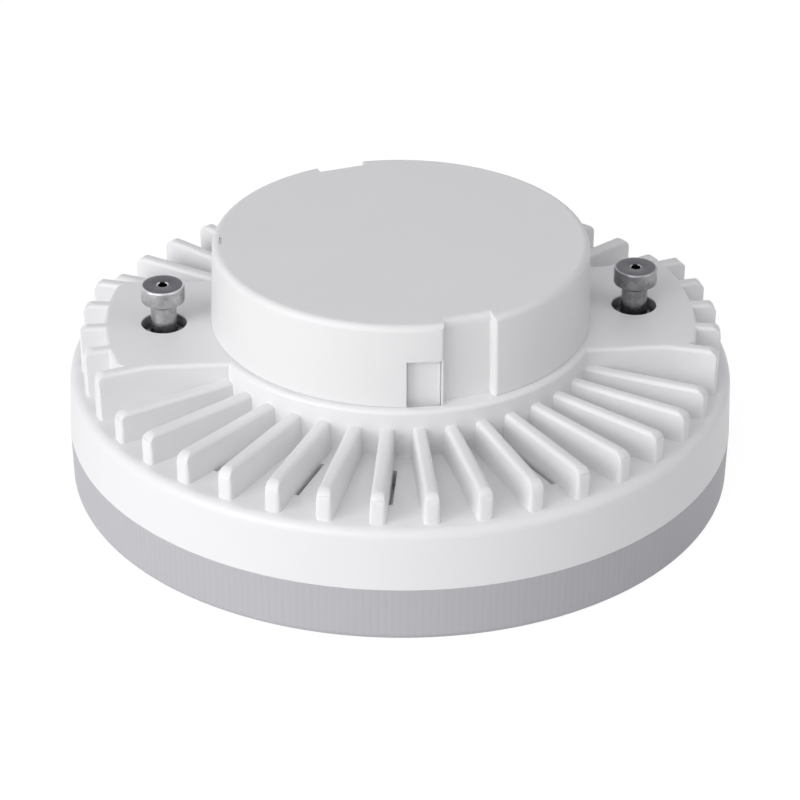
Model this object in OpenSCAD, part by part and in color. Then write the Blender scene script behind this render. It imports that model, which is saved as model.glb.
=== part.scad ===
// LED disc lamp: a finned moulded housing with an opal diffuser below and, on top,
// a keyed boss cap on a snap ring and two contact pins that twist into a lamp holder.
// Millimetres, +Z up, standing on the diffuser. The origin is the middle of the
// diffuser's flat face, and X runs through the axes of both contact pins.

/* [Lamp] */
// Diameter over the rim of the housing and over the diffuser
lamp_d = 75; // [73:0.5:80]
// Distance between the axes of the two contact pins
pin_spacing = 53; // [52:0.25:54]

/* [Diffuser] */
// Height of the visible skirt, from the flat face up to the seam
skirt_h = 6.4; // [5:0.1:9]
// Thickness of the flat light-emitting face
face_t = 1.6; // [1:0.1:2.4]
// Thickness of the skirt wall
skirt_wall = 2.9; // [2.6:0.1:3.5]
// Radius of the edge between face and skirt
skirt_edge_r = 0.9; // [0.2:0.1:1.5]
// Draft of the skirt in degrees
skirt_draft = 1; // [0:0.25:2]
// Height of the lip that enters the housing rim
lip_h = 3; // [2.6:0.1:3.2]
// Thickness of that lip
lip_t = 1.2; // [0.9:0.1:1.5]
// Number of snap lugs round the lip
lug_count = 6; // [3:1:12]
// Angle that one snap lug spans
lug_span = 9; // [4:1:16]
// Height of a snap lug
lug_h = 0.9; // [0.6:0.1:1.1]
// How far a snap lug stands out from the lip
lug_proud = 0.4; // [0.25:0.05:0.5]

/* [Housing shell] */
// Height of the smooth rim wall, from the seam to the floor between the fins
rim_h = 6.9; // [6.5:0.1:9]
// Thickness of the rim wall
rim_wall = 1.6; // [1.3:0.1:2]
// Draft of the rim wall in degrees
rim_draft = 2.5; // [0.5:0.25:3]
// Radius of the rim's rounded top edge
rim_edge_r = 1.05; // [0.4:0.05:1.3]
// Thickness of the floor that carries the fins
floor_t = 1.6; // [1.2:0.1:2]
// Diameter of the neck under the boss cap
neck_d = 44.2; // [43.8:0.1:45]
// Thickness of the neck wall and of the shelf on top of it
neck_wall = 1.6; // [1.2:0.1:1.9]
// Radius of the neck's rounded top edge
neck_edge_r = 0.55; // [0.1:0.05:0.6]
// Radius of the fillet at the foot of the neck
neck_foot_r = 0.15; // [0.1:0.05:0.9]

/* [Cooling fins] */
// Number of fins on the full circle
fin_count = 40; // [32:4:44]
// Height of the ordinary fins above the floor
fin_h = 3.5; // [2.5:0.1:4.8]
// Distance of the fins' outer ends from the outside of the rim
fin_inset = 1.6; // [1.6:0.1:3]
// Thickness of a fin at the floor
fin_root_t = 1.8; // [1.6:0.05:2]
// Thickness of a fin at its top
fin_top_t = 1.5; // [1.2:0.05:1.6]
// Radius along the top edges and down the outer end of a fin
fin_edge_r = 0.5; // [0.2:0.01:0.55]
// Radius of the outer top corner of a fin, seen from its side
fin_corner_r = 1.3; // [0.5:0.1:2]
// Number of taller fins on each side of a platform's middle fin
tall_fins = 2; // [1:1:3]

/* [Vent slots] */
// Width of a vent slot in the floor
slot_w = 0.4; // [0.3:0.05:0.6]
// Diameter of the circle on which the slots begin
slots_inner_d = 50; // [47:0.5:54]
// Distance of the slots' outer ends from the outside of the rim
slots_inset = 5.6; // [4.5:0.1:7]

/* [Pin platforms] */
// Height of the platforms, the taller fins and the neck above the floor
platform_h = 5.5; // [5.3:0.1:6.5]
// How far a platform reaches beyond the axis of its pin
platform_reach = 6.7; // [5.6:0.1:7.4]
// Width of a platform across the pin axis
platform_w = 20; // [16:0.5:21]
// Radius of a platform's outer corners, seen from above
platform_corner_r = 2.6; // [1:0.1:3.5]
// Radius of a platform's top edge
platform_edge_r = 0.5; // [0.2:0.05:0.8]
// Thickness of a platform's walls and top
platform_wall = 1.6; // [1.2:0.1:2]
// Diameter of the recess round a pin
pin_recess_d = 5.1; // [5:0.05:5.6]
// Depth of that recess
pin_recess_h = 1.5; // [1.1:0.1:1.8]
// Diameter of the boss under the platform that carries a pin
pin_boss_d = 7.2; // [6.4:0.1:7.6]
// Thickness of the seat that a pin is riveted to
pin_seat_t = 1.2; // [0.8:0.1:1.3]

/* [Contact pins] */
// Diameter of a pin's head
head_d = 4.85; // [4.6:0.05:5]
// Height of the straight part of the head
head_h = 1.85; // [1.6:0.05:2.3]
// Height of the cone under the head
head_cone_h = 0.5; // [0.3:0.05:1.1]
// Bevel round the top of the head
head_bevel = 0.15; // [0.05:0.05:0.3]
// Diameter of the neck under the head
pin_neck_d = 2.9; // [2.8:0.05:3.2]
// Height of the head's top above the platform
pin_stand_h = 4.8; // [4.2:0.05:5.2]
// Diameter of the collar that seats in the recess
collar_d = 4.7; // [4.2:0.05:4.8]
// Thickness of the collar
collar_t = 0.6; // [0.4:0.05:0.8]
// Diameter of the bore through the pin
pin_bore_d = 1.1; // [1:0.05:1.3]
// Diameter of the countersink at the top of the bore
pin_sink_d = 1.5; // [1.4:0.05:1.8]
// Diameter of the riveted lower end
rivet_d = 4.1; // [3.6:0.1:4.6]
// Height of the riveted lower end
rivet_h = 0.45; // [0.3:0.05:0.6]
// Outer diameter of the retaining washer
washer_d = 6.4; // [5.6:0.1:6.8]
// Thickness of the retaining washer
washer_t = 0.4; // [0.3:0.05:0.6]

/* [Boss cap] */
// Diameter of the cap at its lower edge
cap_d = 42.5; // [42.2:0.1:43.2]
// Height of the cap
cap_h = 9.5; // [9:0.1:12]
// Draft of the cap's side in degrees
cap_draft = 2; // [0.5:0.25:2.5]
// Radius of the cap's top edge
cap_edge_r = 0.8; // [0.3:0.1:1.2]
// Bevel at the cap's lower edge
cap_foot_bevel = 0.12; // [0.05:0.01:0.2]
// Thickness of the cap's side wall
cap_wall = 1.3; // [1:0.1:1.5]
// Thickness of the cap's top
cap_top_t = 1.3; // [1:0.1:1.6]
// Width of a keyway down the side of the cap
keyway_w = 5.6; // [4.5:0.1:6.5]
// Depth of a keyway
keyway_depth = 1.15; // [0.7:0.05:1.4]
// Direction of the first keyway, in degrees from the right pin
keyway_at = -74.7; // [-80:0.1:-70]
// Radius of the edges at each side of a keyway
keyway_edge_r = 0.4; // [0.2:0.05:0.5]
// Radius in the two corners of a keyway's floor
keyway_corner_r = 0.3; // [0.1:0.05:0.5]
// Thickness of the wall at each side of a keyway
keyway_side_t = 0.9; // [0.6:0.1:1.2]
// Width of a snap window beside a keyway
window_w = 3.8; // [3:0.1:4.4]
// Height of a snap window
window_h = 5.3; // [4:0.1:6.2]
// Width of the strip between a snap window and its keyway
window_bar = 0.35; // [0.25:0.05:0.6]
// Depth of a snap window, down to the key that snaps into it
window_recess = 1.05; // [0.6:0.05:1.2]
// Depth of the pocket in the neck's shelf under a snap window
window_pocket_h = 0.9; // [0.5:0.05:1]
// Diameter of the posts that hold the driver board down
post_d = 2.2; // [2:0.1:2.6]
// Length of the gate mark in the edge of the cap's top
gate_mark_l = 1.8; // [1:0.1:3]
// Width and depth of the gate mark
gate_mark_w = 0.3; // [0.2:0.05:0.4]

/* [Snap ring] */
// Height of the ring's spigot, which enters the boss cap
spigot_h = 5.2; // [4:0.1:6]
// Thickness of the spigot
spigot_t = 1.3; // [1:0.1:1.5]
// Depth of the lip that centres the ring in the neck
ring_lip_h = 1.2; // [0.8:0.1:1.4]
// Thickness of the web between lip and spigot
ring_web_t = 1.2; // [0.8:0.1:1.6]

/* [LED board] */
// Thickness of the aluminium heat spreader
spreader_t = 1.5; // [1:0.1:1.8]
// Gap between the LED board and the rim wall
led_board_gap = 2.9; // [2.2:0.1:4.5]
// Thickness of the LED board
led_board_t = 1; // [0.8:0.1:1.6]
// Diameter of the hole for the leads through spreader and LED board
lead_hole_d = 7; // [6.4:0.1:8]
// Number of LEDs in the outer ring
outer_leds = 12; // [8:1:16]
// Distance of the outer LED ring from the edge of the LED board
outer_leds_inset = 7; // [5:0.5:9]
// Number of LEDs in the inner ring
inner_leds = 6; // [3:1:8]
// Diameter of the inner LED ring
inner_leds_d = 22; // [20:0.5:24]
// Length of an LED package
led_l = 3.5; // [3:0.1:4]
// Width of an LED package
led_w = 2.8; // [2.4:0.1:3.2]
// Thickness of an LED package
led_t = 0.8; // [0.6:0.1:1]

/* [Board screws] */
// Direction of the first screw in degrees from the right pin
screws_at = 30; // [26:1:34]
// Diameter of the circle through the screws
screws_ring_d = 33; // [32:0.5:33.5]
// Diameter of the screw thread
screw_d = 2.6; // [2.4:0.1:3]
// Length of the screw under its head
screw_l = 5.4; // [4.6:0.1:5.8]
// Diameter of the screw head
screw_head_d = 5; // [4.6:0.1:5.6]
// Height of the screw head
screw_head_h = 1.7; // [1.3:0.1:2]
// Diameter of a screw boss
screw_boss_d = 5.2; // [4.8:0.1:5.6]
// Height of the screw bosses, on which the driver board rests
screw_boss_h = 3.9; // [3.8:0.1:4.4]

/* [Driver] */
// Gap between the driver board and the neck round it
driver_board_gap = 2.4; // [2.1:0.1:2.8]
// Thickness of the driver board
driver_board_t = 1.2; // [1:0.1:1.4]
// Thickness of the insulating sheet under the driver
sheet_t = 0.4; // [0.2:0.1:0.6]
// Diameter of the input capacitor's can
input_cap_d = 8; // [7:0.1:8.4]
// Length of the input capacitor's can
input_cap_l = 12; // [10:0.5:13]
// Diameter of the output capacitor's can
output_cap_d = 6.3; // [5:0.1:6.6]
// Height of the output capacitor's can
output_cap_h = 8; // [6:0.5:9]
// Width of the transformer core
core_w = 10.2; // [9.6:0.1:10.4]
// Length of the transformer core
core_l = 11; // [10.4:0.1:11.6]
// Thickness of the transformer core
core_t = 4.7; // [4.2:0.1:5]
// Width of the core's middle leg
core_leg_w = 2.6; // [2.2:0.1:2.8]
// Width of the core's outer legs and of its yokes
core_side_w = 1.4; // [1.2:0.1:1.6]
// Height of the transformer bobbin
bobbin_h = 8.8; // [8.2:0.1:9.4]
// Thickness of the bobbin's tube and flanges
bobbin_t = 0.6; // [0.4:0.1:0.7]
// Size of the film capacitor: width, length and height
film_cap = [4.5, 7.4, 7]; // [3:0.1:8]
// Diameter of the fuse resistor's body
fuse_d = 3; // [2.4:0.1:3.2]
// Length of the fuse resistor's body
fuse_l = 7; // [6:0.5:7.5]
// Size of the rectifier's body: width, length and height
rectifier = [4.7, 3.9, 2.4]; // [2:0.1:5]
// Size of the driver chip's body: width, length and height
chip = [4.9, 3.9, 1.45]; // [1.2:0.1:5.2]
// Diameter of the component leads
leg_d = 0.6; // [0.5:0.05:0.7]

/* [Leads] */
// Diameter of a lead over its insulation
lead_d = 1.3; // [1.2:0.05:1.5]
// Diameter of a lead's conductor
lead_core_d = 0.8; // [0.6:0.05:0.9]
// Bend radius of a lead's middle line
lead_bend_r = 1.4; // [1.3:0.05:1.5]
// Distance of the pin leads' solder joints from the middle of the driver board
pin_joint_r = 15; // [14.6:0.1:15.4]

/* [Clearances] */
// Gap between a spigot or a lip and the wall round it
fit_gap = 0.15; // [0.1:0.01:0.25]
// Gap between a piece that drops in and its surroundings
loose_gap = 0.3; // [0.2:0.05:0.4]
// Gap between a component or a conductor and the hole or core round it
hole_gap = 0.1; // [0.08:0.01:0.15]

/* [Hidden] */
$fn = 96;
ARC = 5;

rim_r = lamp_d / 2;
rim_top_r = rim_r - (rim_h - rim_edge_r) * tan(rim_draft);
rim_inner_r = rim_r - rim_wall;
skirt_foot_r = rim_r - skirt_h * tan(skirt_draft);
neck_r = neck_d / 2;
neck_inner_r = neck_r - neck_wall;
fin_ends_r = rim_r - fin_inset;
slots_outer_r = rim_r - slots_inset;
pin_x = pin_spacing / 2;
platform_ends_r = pin_x + platform_reach;
cap_r = cap_d / 2;
cap_inner_r = cap_r - cap_wall;
window_floor_r = cap_inner_r - cap_wall / 2;
spigot_r = cap_inner_r - fit_gap;
lip_r = rim_inner_r - fit_gap;
keyway_floor_r = cap_r - keyway_depth;
shelf_r = spigot_r - spigot_t;
screws_ring_r = screws_ring_d / 2;
led_board_r = rim_inner_r - led_board_gap;
outer_leds_r = led_board_r - outer_leds_inset;
inner_leds_r = inner_leds_d / 2;
driver_board_r = neck_inner_r - driver_board_gap;
ring_inner_r = screws_ring_r + post_d / 2 + fit_gap;

seam_z = skirt_h;
floor_z = seam_z + rim_h;
under_z = floor_z - floor_t;
platform_z = floor_z + platform_h;
shelf_z = platform_z - neck_wall;
spigot_z = platform_z + spigot_h;
cap_z = platform_z + cap_h;
spreader_z = under_z - spreader_t;
led_board_z = spreader_z - led_board_t;
driver_z = under_z + screw_boss_h;
driver_top_z = driver_z + driver_board_t;
recess_z = platform_z - pin_recess_h;
seat_z = recess_z - pin_seat_t;
head_z = platform_z + pin_stand_h;
pin_end_z = seat_z - washer_t - rivet_h;
lug_z = seam_z + lip_h - 1.7 * lug_h;

screws = 3;
pilot_end_t = 0.7;
gate_mark_at = 177;
fin_step = 360 / fin_count;
fin_start_r = neck_r - neck_wall / 2;
window_turn = asin((keyway_w / 2 + window_bar) / cap_r) + asin(window_w / 2 / cap_r);
lead_run_z = pin_end_z - hole_gap - lead_bend_r;
flange_y = core_l / 2 - core_side_w - hole_gap - bobbin_t;
solder_h = 0.6;
solder_d = 1.8;
joint_rise = 0.7;
leg_below = 0.8;
leg_inside = 1;
leg_out = 1.2;
led_lead_bare = 2;
led_lead_sheath = 1;
input_leg_pitch = 3.5;
output_leg_pitch = 2.5;

led_lead_at = [2, -3.7];
transformer_at = [-1, 4.2];
input_cap_at = [-1.6, -9.6];
output_cap_at = [8.4, 7.6];
film_cap_at = [-10.4, -1];
fuse_at = [10.6, -7];
rectifier_at = [-10.3, 6.6];
chip_at = [8.2, 0.6];

function ring_point(r, a) = [r * cos(a), r * sin(a)];
function arc(c, r, a0, a1, n = ARC) =
    [for (i = [0 : n]) c + ring_point(r, a0 + (a1 - a0) * i / n)];
function round_box(w, l, r) = concat(
    arc([w / 2 - r, l / 2 - r], r, 0, 90), arc([r - w / 2, l / 2 - r], r, 90, 180),
    arc([r - w / 2, r - l / 2], r, 180, 270), arc([w / 2 - r, r - l / 2], r, 270, 360));

function fin_angle(i) = i * fin_step;
function is_tall(i) =
    let (half = fin_count / 2, k = i % half) min(k, half - k) <= tall_fins;

// The outline of a platform, drawn in by inset on all sides but the inner one.
function platform_outline(inset) =
    let (reach = platform_ends_r - inset,
         half_w = platform_w / 2 - inset,
         corner = platform_corner_r,
         mid_r = reach - corner,
         mid_y = half_w - corner,
         mid_x = sqrt(mid_r * mid_r - mid_y * mid_y),
         start_x = sqrt(fin_start_r * fin_start_r - half_w * half_w),
         turn = atan2(mid_y, mid_x))
    concat([[start_x, half_w], [start_x, -half_w]],
           arc([mid_x, -mid_y], corner, -90, -turn),
           arc([0, 0], reach, -turn, turn, 8),
           arc([mid_x, mid_y], corner, turn, 90));

// Where component leads pass through the driver board.
input_cap_legs = [for (s = [-1, 1])
    input_cap_at + [input_cap_l / 2 + leg_out, s * input_leg_pitch / 2]];
output_cap_legs = [for (s = [-1, 1]) output_cap_at + [0, s * output_leg_pitch / 2]];
film_cap_legs = [for (s = [-1, 1]) film_cap_at + [0, s * film_cap.y / 3]];
fuse_legs = [for (s = [-1, 1]) fuse_at + [0, s * (fuse_l / 2 + leg_out)]];
bobbin_legs = [for (sx = [-1, 1], sy = [-1, 1])
    transformer_at + [sx * core_w / 4, sy * (flange_y + bobbin_t / 2)]];
pin_joints = [for (s = [-1, 1]) [s * pin_joint_r, 0]];
led_joints = [for (s = [-1, 1]) [s * led_lead_at.x, led_lead_at.y]];

// Opal cup: flat face, skirt wall, and a lip with snap lugs inside the rim.
module diffuser() {
    color([0.84, 0.84, 0.87]) {
        rotate_extrude()
            polygon(concat(
                [[0, 0]],
                arc([skirt_foot_r - skirt_edge_r, skirt_edge_r], skirt_edge_r, -90, 0),
                [[rim_r, seam_z], [lip_r, seam_z], [lip_r, seam_z + lip_h],
                 [lip_r - lip_t, seam_z + lip_h], [rim_r - skirt_wall, face_t],
                 [0, face_t]]));
        for (i = [0 : lug_count - 1])
            rotate(i * 360 / lug_count - lug_span / 2)
                rotate_extrude(angle = lug_span)
                    polygon([[lip_r - lip_t / 2, lug_z],
                             [lip_r, lug_z],
                             [lip_r + lug_proud, lug_z + lug_h / 3],
                             [lip_r + lug_proud, lug_z + 2 * lug_h / 3],
                             [lip_r, lug_z + lug_h],
                             [lip_r - lip_t / 2, lug_z + lug_h]]);
    }
}

// Rim, floor, neck and shelf: the turned part of the housing's section.
module housing_shell() {
    groove_r = lip_r + lug_proud + fit_gap;
    rotate_extrude()
        polygon(concat(
            [[rim_r, seam_z]],
            arc([rim_top_r - rim_edge_r, floor_z - rim_edge_r], rim_edge_r, 0, 90),
            arc([neck_r + neck_foot_r, floor_z + neck_foot_r], neck_foot_r, 270, 180),
            arc([neck_r - neck_edge_r, platform_z - neck_edge_r], neck_edge_r, 0, 90),
            [[shelf_r, platform_z], [shelf_r, shelf_z], [neck_inner_r, shelf_z],
             [neck_inner_r, under_z], [rim_inner_r, under_z],
             [rim_inner_r, lug_z + lug_h + fit_gap],
             [groove_r, lug_z + 2 * lug_h / 3 + fit_gap],
             [groove_r, lug_z + lug_h / 3 - fit_gap],
             [rim_inner_r, lug_z - fit_gap], [rim_inner_r, seam_z]]));
}

// One fin along +X, from inside the neck wall to its rounded outer end.
module fin(h) {
    root = fin_root_t / 2;
    top = fin_top_t / 2;
    sunk = floor_t / 2;
    top_z = floor_z + h;
    intersection() {
        rotate([90, 0, 90])
            linear_extrude(fin_ends_r)
                polygon(concat(
                    [[-root, floor_z - sunk], [root, floor_z - sunk], [root, floor_z]],
                    arc([top - fin_edge_r, top_z - fin_edge_r], fin_edge_r, 0, 90, 4),
                    arc([fin_edge_r - top, top_z - fin_edge_r], fin_edge_r, 90, 180, 4),
                    [[-root, floor_z]]));
        translate([0, 0, floor_z - sunk])
            linear_extrude(h + sunk)
                polygon(concat(
                    [[fin_start_r, -root]],
                    arc([fin_ends_r - fin_edge_r, fin_edge_r - root], fin_edge_r, -90, 0, 4),
                    arc([fin_ends_r - fin_edge_r, root - fin_edge_r], fin_edge_r, 0, 90, 4),
                    [[fin_start_r, root]]));
        rotate([90, 0, 0])
            linear_extrude(fin_root_t + 1, center = true)
                polygon(concat(
                    [[fin_start_r, floor_z - sunk], [fin_ends_r, floor_z - sunk]],
                    arc([fin_ends_r - fin_corner_r, top_z - fin_corner_r],
                        fin_corner_r, 0, 90),
                    [[fin_start_r, top_z]]));
    }
}

module cooling_fins() {
    for (i = [0 : fin_count - 1])
        rotate(fin_angle(i))
            fin(is_tall(i) ? platform_h : fin_h);
}

// A pin platform: rounded corners from above, and rounded edges along its top.
module platform() {
    sunk = floor_t / 2;
    side = platform_w / 2;
    edge_z = platform_z - platform_edge_r;
    intersection() {
        translate([0, 0, floor_z - sunk])
            linear_extrude(platform_h + sunk)
                polygon(platform_outline(0));
        rotate_extrude()
            polygon(concat(
                [[fin_start_r, floor_z - sunk], [platform_ends_r, floor_z - sunk]],
                arc([platform_ends_r - platform_edge_r, edge_z], platform_edge_r, 0, 90),
                [[fin_start_r, platform_z]]));
        rotate([90, 0, 90])
            linear_extrude(platform_ends_r + 1)
                polygon(concat(
                    [[-side, floor_z - sunk], [side, floor_z - sunk]],
                    arc([side - platform_edge_r, edge_z], platform_edge_r, 0, 90),
                    arc([platform_edge_r - side, edge_z], platform_edge_r, 90, 180)));
    }
}

// The hollow under a platform, with the pin's boss left standing in it.
module platform_hollow() {
    difference() {
        translate([0, 0, under_z - 1])
            linear_extrude(platform_h + floor_t - platform_wall + 1)
                difference() {
                    polygon(platform_outline(platform_wall));
                    circle(neck_r);
                }
        translate([pin_x, 0, seat_z])
            cylinder(h = platform_z - seat_z, d = pin_boss_d);
    }
}

// A slot through the neck's foot, for the lead from a pin to the driver.
module lead_channel() {
    channel_w = lead_d + 2 * loose_gap;
    translate([neck_inner_r - 1, -channel_w / 2, under_z - 1])
        cube([neck_wall + 2, channel_w, lead_run_z + lead_d / 2 + loose_gap - under_z + 1]);
}

module vent_slot(side) {
    slot_y = side * (fin_root_t + slot_w) / 2;
    translate([slots_inner_d / 2, slot_y - slot_w / 2, under_z - 1])
        cube([slots_outer_r - slots_inner_d / 2, slot_w, floor_t + 2]);
}

// Every second fin between the platforms has a slot at its foot, on the side that faces
// away from the platform. The fin next to each keyway has none.
module vent_slots() {
    last = fin_count / 4 - tall_fins - 2;
    for (half = [0, 180], side = [-1, 1], k = [side < 0 ? 1 : 3 : 2 : last])
        rotate(half + 90 + side * k * fin_step)
            vent_slot(-side);
}

// A screw boss tied to the neck wall by a short rib.
module screw_boss() {
    rib_t = 1.6;
    translate([screws_ring_r, 0, under_z])
        cylinder(h = screw_boss_h, d = screw_boss_d);
    translate([screws_ring_r, -rib_t / 2, under_z])
        cube([neck_inner_r + neck_wall / 2 - screws_ring_r, rib_t, screw_boss_h]);
}

module screw_pilot() {
    translate([screws_ring_r, 0, under_z - 1])
        cylinder(h = screw_boss_h + 1 - pilot_end_t, d = screw_d + 2 * hole_gap);
}

module pin_hole() {
    translate([pin_x, 0, recess_z])
        cylinder(h = pin_recess_h + 1, d = pin_recess_d);
    translate([pin_x, 0, seat_z - 1])
        cylinder(h = pin_seat_t + 2, d = pin_neck_d + 2 * hole_gap);
}

// The pocket in the neck's shelf in which a key of the snap ring stands.
module window_pocket() {
    rotate(-window_turn)
        translate([window_floor_r, -window_w / 2, platform_z - window_pocket_h])
            cube([cap_r - fit_gap - window_floor_r, window_w, window_pocket_h + 1]);
}

// The moulded housing: shell, fins and platforms, hollowed from below.
module housing() {
    color([0.95, 0.95, 0.95])
        difference() {
            union() {
                housing_shell();
                cooling_fins();
                for (turn = [0, 180]) rotate(turn) platform();
                for (i = [0 : screws - 1]) rotate(screws_at + i * 360 / screws) screw_boss();
            }
            for (turn = [0, 180]) rotate(turn) {
                platform_hollow();
                pin_hole();
                lead_channel();
            }
            for (i = [0 : screws - 1]) rotate(screws_at + i * 360 / screws) screw_pilot();
            for (turn = [0, 180]) rotate(keyway_at + turn) window_pocket();
            vent_slots();
        }
}

// The key on the snap ring that shows in a snap window of the cap.
module window_key() {
    key_w = window_w - 2 * fit_gap;
    key_r = cap_r - window_recess;
    start_r = window_floor_r + fit_gap;
    foot_z = platform_z - window_pocket_h + hole_gap;
    rotate(-window_turn)
        translate([start_r, -key_w / 2, foot_z])
            cube([key_r - start_r, key_w, platform_z + window_h - fit_gap - foot_z]);
}

// The gap in the ring's spigot and web that lets the cap's keyway wall pass.
module keyway_gap() {
    gap_w = keyway_w + 2 * (keyway_side_t + fit_gap);
    translate([ring_inner_r / 2, -gap_w / 2, platform_z])
        cube([cap_r - ring_inner_r / 2, gap_w, spigot_h + 1]);
}

// The ring on the neck's shelf that the cap snaps onto: lip, web, spigot and two keys.
module snap_ring() {
    spigot_top_r = spigot_r - spigot_h * tan(cap_draft);
    lip_outer_r = shelf_r - fit_gap;
    lip_z = platform_z - ring_lip_h;
    color([0.9, 0.9, 0.9]) {
        difference() {
            rotate_extrude()
                polygon([[lip_outer_r, lip_z], [lip_outer_r, platform_z],
                         [spigot_r, platform_z], [spigot_top_r, spigot_z - fit_gap],
                         [spigot_top_r - fit_gap, spigot_z], [shelf_r, spigot_z],
                         [shelf_r, platform_z + ring_web_t],
                         [ring_inner_r, platform_z + ring_web_t],
                         [ring_inner_r, lip_z]]);
            for (turn = [0, 180]) rotate(keyway_at + turn) keyway_gap();
        }
        for (turn = [0, 180]) rotate(keyway_at + turn) window_key();
    }
}

// The cap's outer form: drafted side, rounded top edge and a small bevel at the foot.
module cap_form(shrink, top_drop) {
    draft = tan(cap_draft);
    h = cap_h - top_drop;
    edge_r = max(cap_edge_r - shrink, 0.2);
    side_r = cap_r - shrink;
    rotate_extrude()
        polygon(concat(
            [[0, platform_z], [side_r - cap_foot_bevel, platform_z],
             [side_r - cap_foot_bevel * draft, platform_z + cap_foot_bevel]],
            arc([side_r - (h - edge_r) * draft - edge_r, platform_z + h - edge_r],
                edge_r, 0, 90),
            [[0, platform_z + h]]));
}

// The wall that the cap keeps round a keyway.
module keyway_wall() {
    wall_w = keyway_w + 2 * keyway_side_t;
    translate([keyway_floor_r - cap_wall, -wall_w / 2, platform_z - 1])
        cube([cap_wall + keyway_depth + 2, wall_w, cap_h + 2]);
}

// What is cut away for a keyway, leaned with the cap's draft. Its corners are rounded, and
// so are the edges where it opens in the cap's side and top.
module keyway_cut() {
    half_w = keyway_w / 2;
    edge_y = half_w + keyway_edge_r;
    edge_x = sqrt(pow(cap_r - keyway_edge_r, 2) - edge_y * edge_y);
    turn = atan2(edge_y, edge_x);
    corner_x = keyway_floor_r + keyway_corner_r;
    corner_y = half_w - keyway_corner_r;
    top_x = keyway_floor_r - cap_h * tan(cap_draft);
    side = concat(
        arc([corner_x, corner_y], keyway_corner_r, 180, 90),
        arc([edge_x, edge_y], keyway_edge_r, -90, turn),
        [ring_point(cap_r + 2, turn)]);
    flip = [for (i = [len(side) - 1 : -1 : 0]) [side[i].x, -side[i].y]];
    translate([cap_r, 0, platform_z])
        rotate([0, -cap_draft, 0])
            translate([-cap_r, 0, -1])
                linear_extrude(cap_h + 2)
                    polygon(concat(side, flip));
    translate([0, half_w, 0])
        rotate([90, 0, 0])
            linear_extrude(keyway_w)
                polygon(concat(
                    [[top_x + 2, cap_z - cap_edge_r]],
                    arc([top_x - cap_edge_r, cap_z - cap_edge_r], cap_edge_r, 0, 90),
                    [[top_x - cap_edge_r, cap_z + 1], [top_x + 2, cap_z + 1]]));
}

// A snap window: a notch in the lower edge of the cap's wall.
module snap_window() {
    rotate(-window_turn)
        translate([window_floor_r, -window_w / 2, platform_z - 1])
            cube([2 * cap_wall, window_w, window_h + 1]);
}

// The small nick that the mould's gate leaves in the edge of the cap's top.
module gate_mark() {
    mark_r = cap_r - cap_h * tan(cap_draft) - cap_edge_r - gate_mark_w;
    rotate(gate_mark_at)
        translate([mark_r, -gate_mark_l / 2, cap_z - gate_mark_w])
            cube([gate_mark_w, gate_mark_l, 1]);
}

// The keyed cap over the driver, with posts that hold the driver board down.
module boss_cap() {
    color([0.93, 0.93, 0.93]) {
        difference() {
            cap_form(0, 0);
            difference() {
                union() {
                    cap_form(cap_wall, cap_top_t);
                    translate([0, 0, platform_z - 1])
                        cylinder(h = 2, r = cap_inner_r);
                }
                for (turn = [0, 180]) rotate(keyway_at + turn) keyway_wall();
            }
            for (turn = [0, 180])
                rotate(keyway_at + turn) {
                    keyway_cut();
                    snap_window();
                }
            gate_mark();
        }
        for (i = [0 : screws - 1])
            rotate(screws_at + i * 360 / screws)
                translate([screws_ring_r, 0, driver_top_z + hole_gap])
                    cylinder(h = cap_z - cap_top_t / 2 - driver_top_z - hole_gap, d = post_d);
    }
}

// A turned contact pin: head, cone, neck, collar and riveted end, bored through.
module contact_pin(side) {
    head_r = head_d / 2;
    neck = pin_neck_d / 2;
    bore = pin_bore_d / 2;
    sink = pin_sink_d / 2;
    color([0.62, 0.62, 0.64])
        translate([side * pin_x, 0, 0])
            rotate_extrude($fn = 64)
                polygon([
                    [bore, pin_end_z], [rivet_d / 2 - 0.2, pin_end_z],
                    [rivet_d / 2, pin_end_z + 0.2], [rivet_d / 2, pin_end_z + rivet_h],
                    [neck, pin_end_z + rivet_h], [neck, recess_z],
                    [collar_d / 2, recess_z], [collar_d / 2, recess_z + collar_t - 0.1],
                    [collar_d / 2 - 0.1, recess_z + collar_t], [neck, recess_z + collar_t],
                    [neck, head_z - head_h - head_cone_h],
                    [head_r, head_z - head_h],
                    [head_r, head_z - head_bevel], [head_r - head_bevel, head_z],
                    [sink, head_z], [bore, head_z - (sink - bore)]]);
}

// The washer that the lower end of a pin is riveted over.
module pin_washer(side) {
    color([0.7, 0.66, 0.55])
        translate([side * pin_x, 0, seat_z - washer_t])
            difference() {
                cylinder(h = washer_t, d = washer_d);
                translate([0, 0, -1])
                    cylinder(h = washer_t + 2, d = pin_neck_d + 2 * hole_gap);
            }
}

module lead_hole(h) {
    translate([0, led_lead_at.y, -1])
        cylinder(h = h + 2, d = lead_hole_d);
}

module screw_holes(h) {
    for (i = [0 : screws - 1])
        rotate(screws_at + i * 360 / screws)
            translate([screws_ring_r, 0, -1])
                cylinder(h = h + 2, d = screw_d + 2 * loose_gap);
}

module drilled_disc(r, h) {
    difference() {
        cylinder(h = h, r = r);
        lead_hole(h);
        screw_holes(h);
    }
}

module heat_spreader() {
    color([0.75, 0.76, 0.78])
        translate([0, 0, spreader_z])
            drilled_disc(rim_inner_r - loose_gap, spreader_t);
}

module led_board() {
    color([0.96, 0.96, 0.94])
        translate([0, 0, led_board_z])
            drilled_disc(led_board_r, led_board_t);
}

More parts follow.
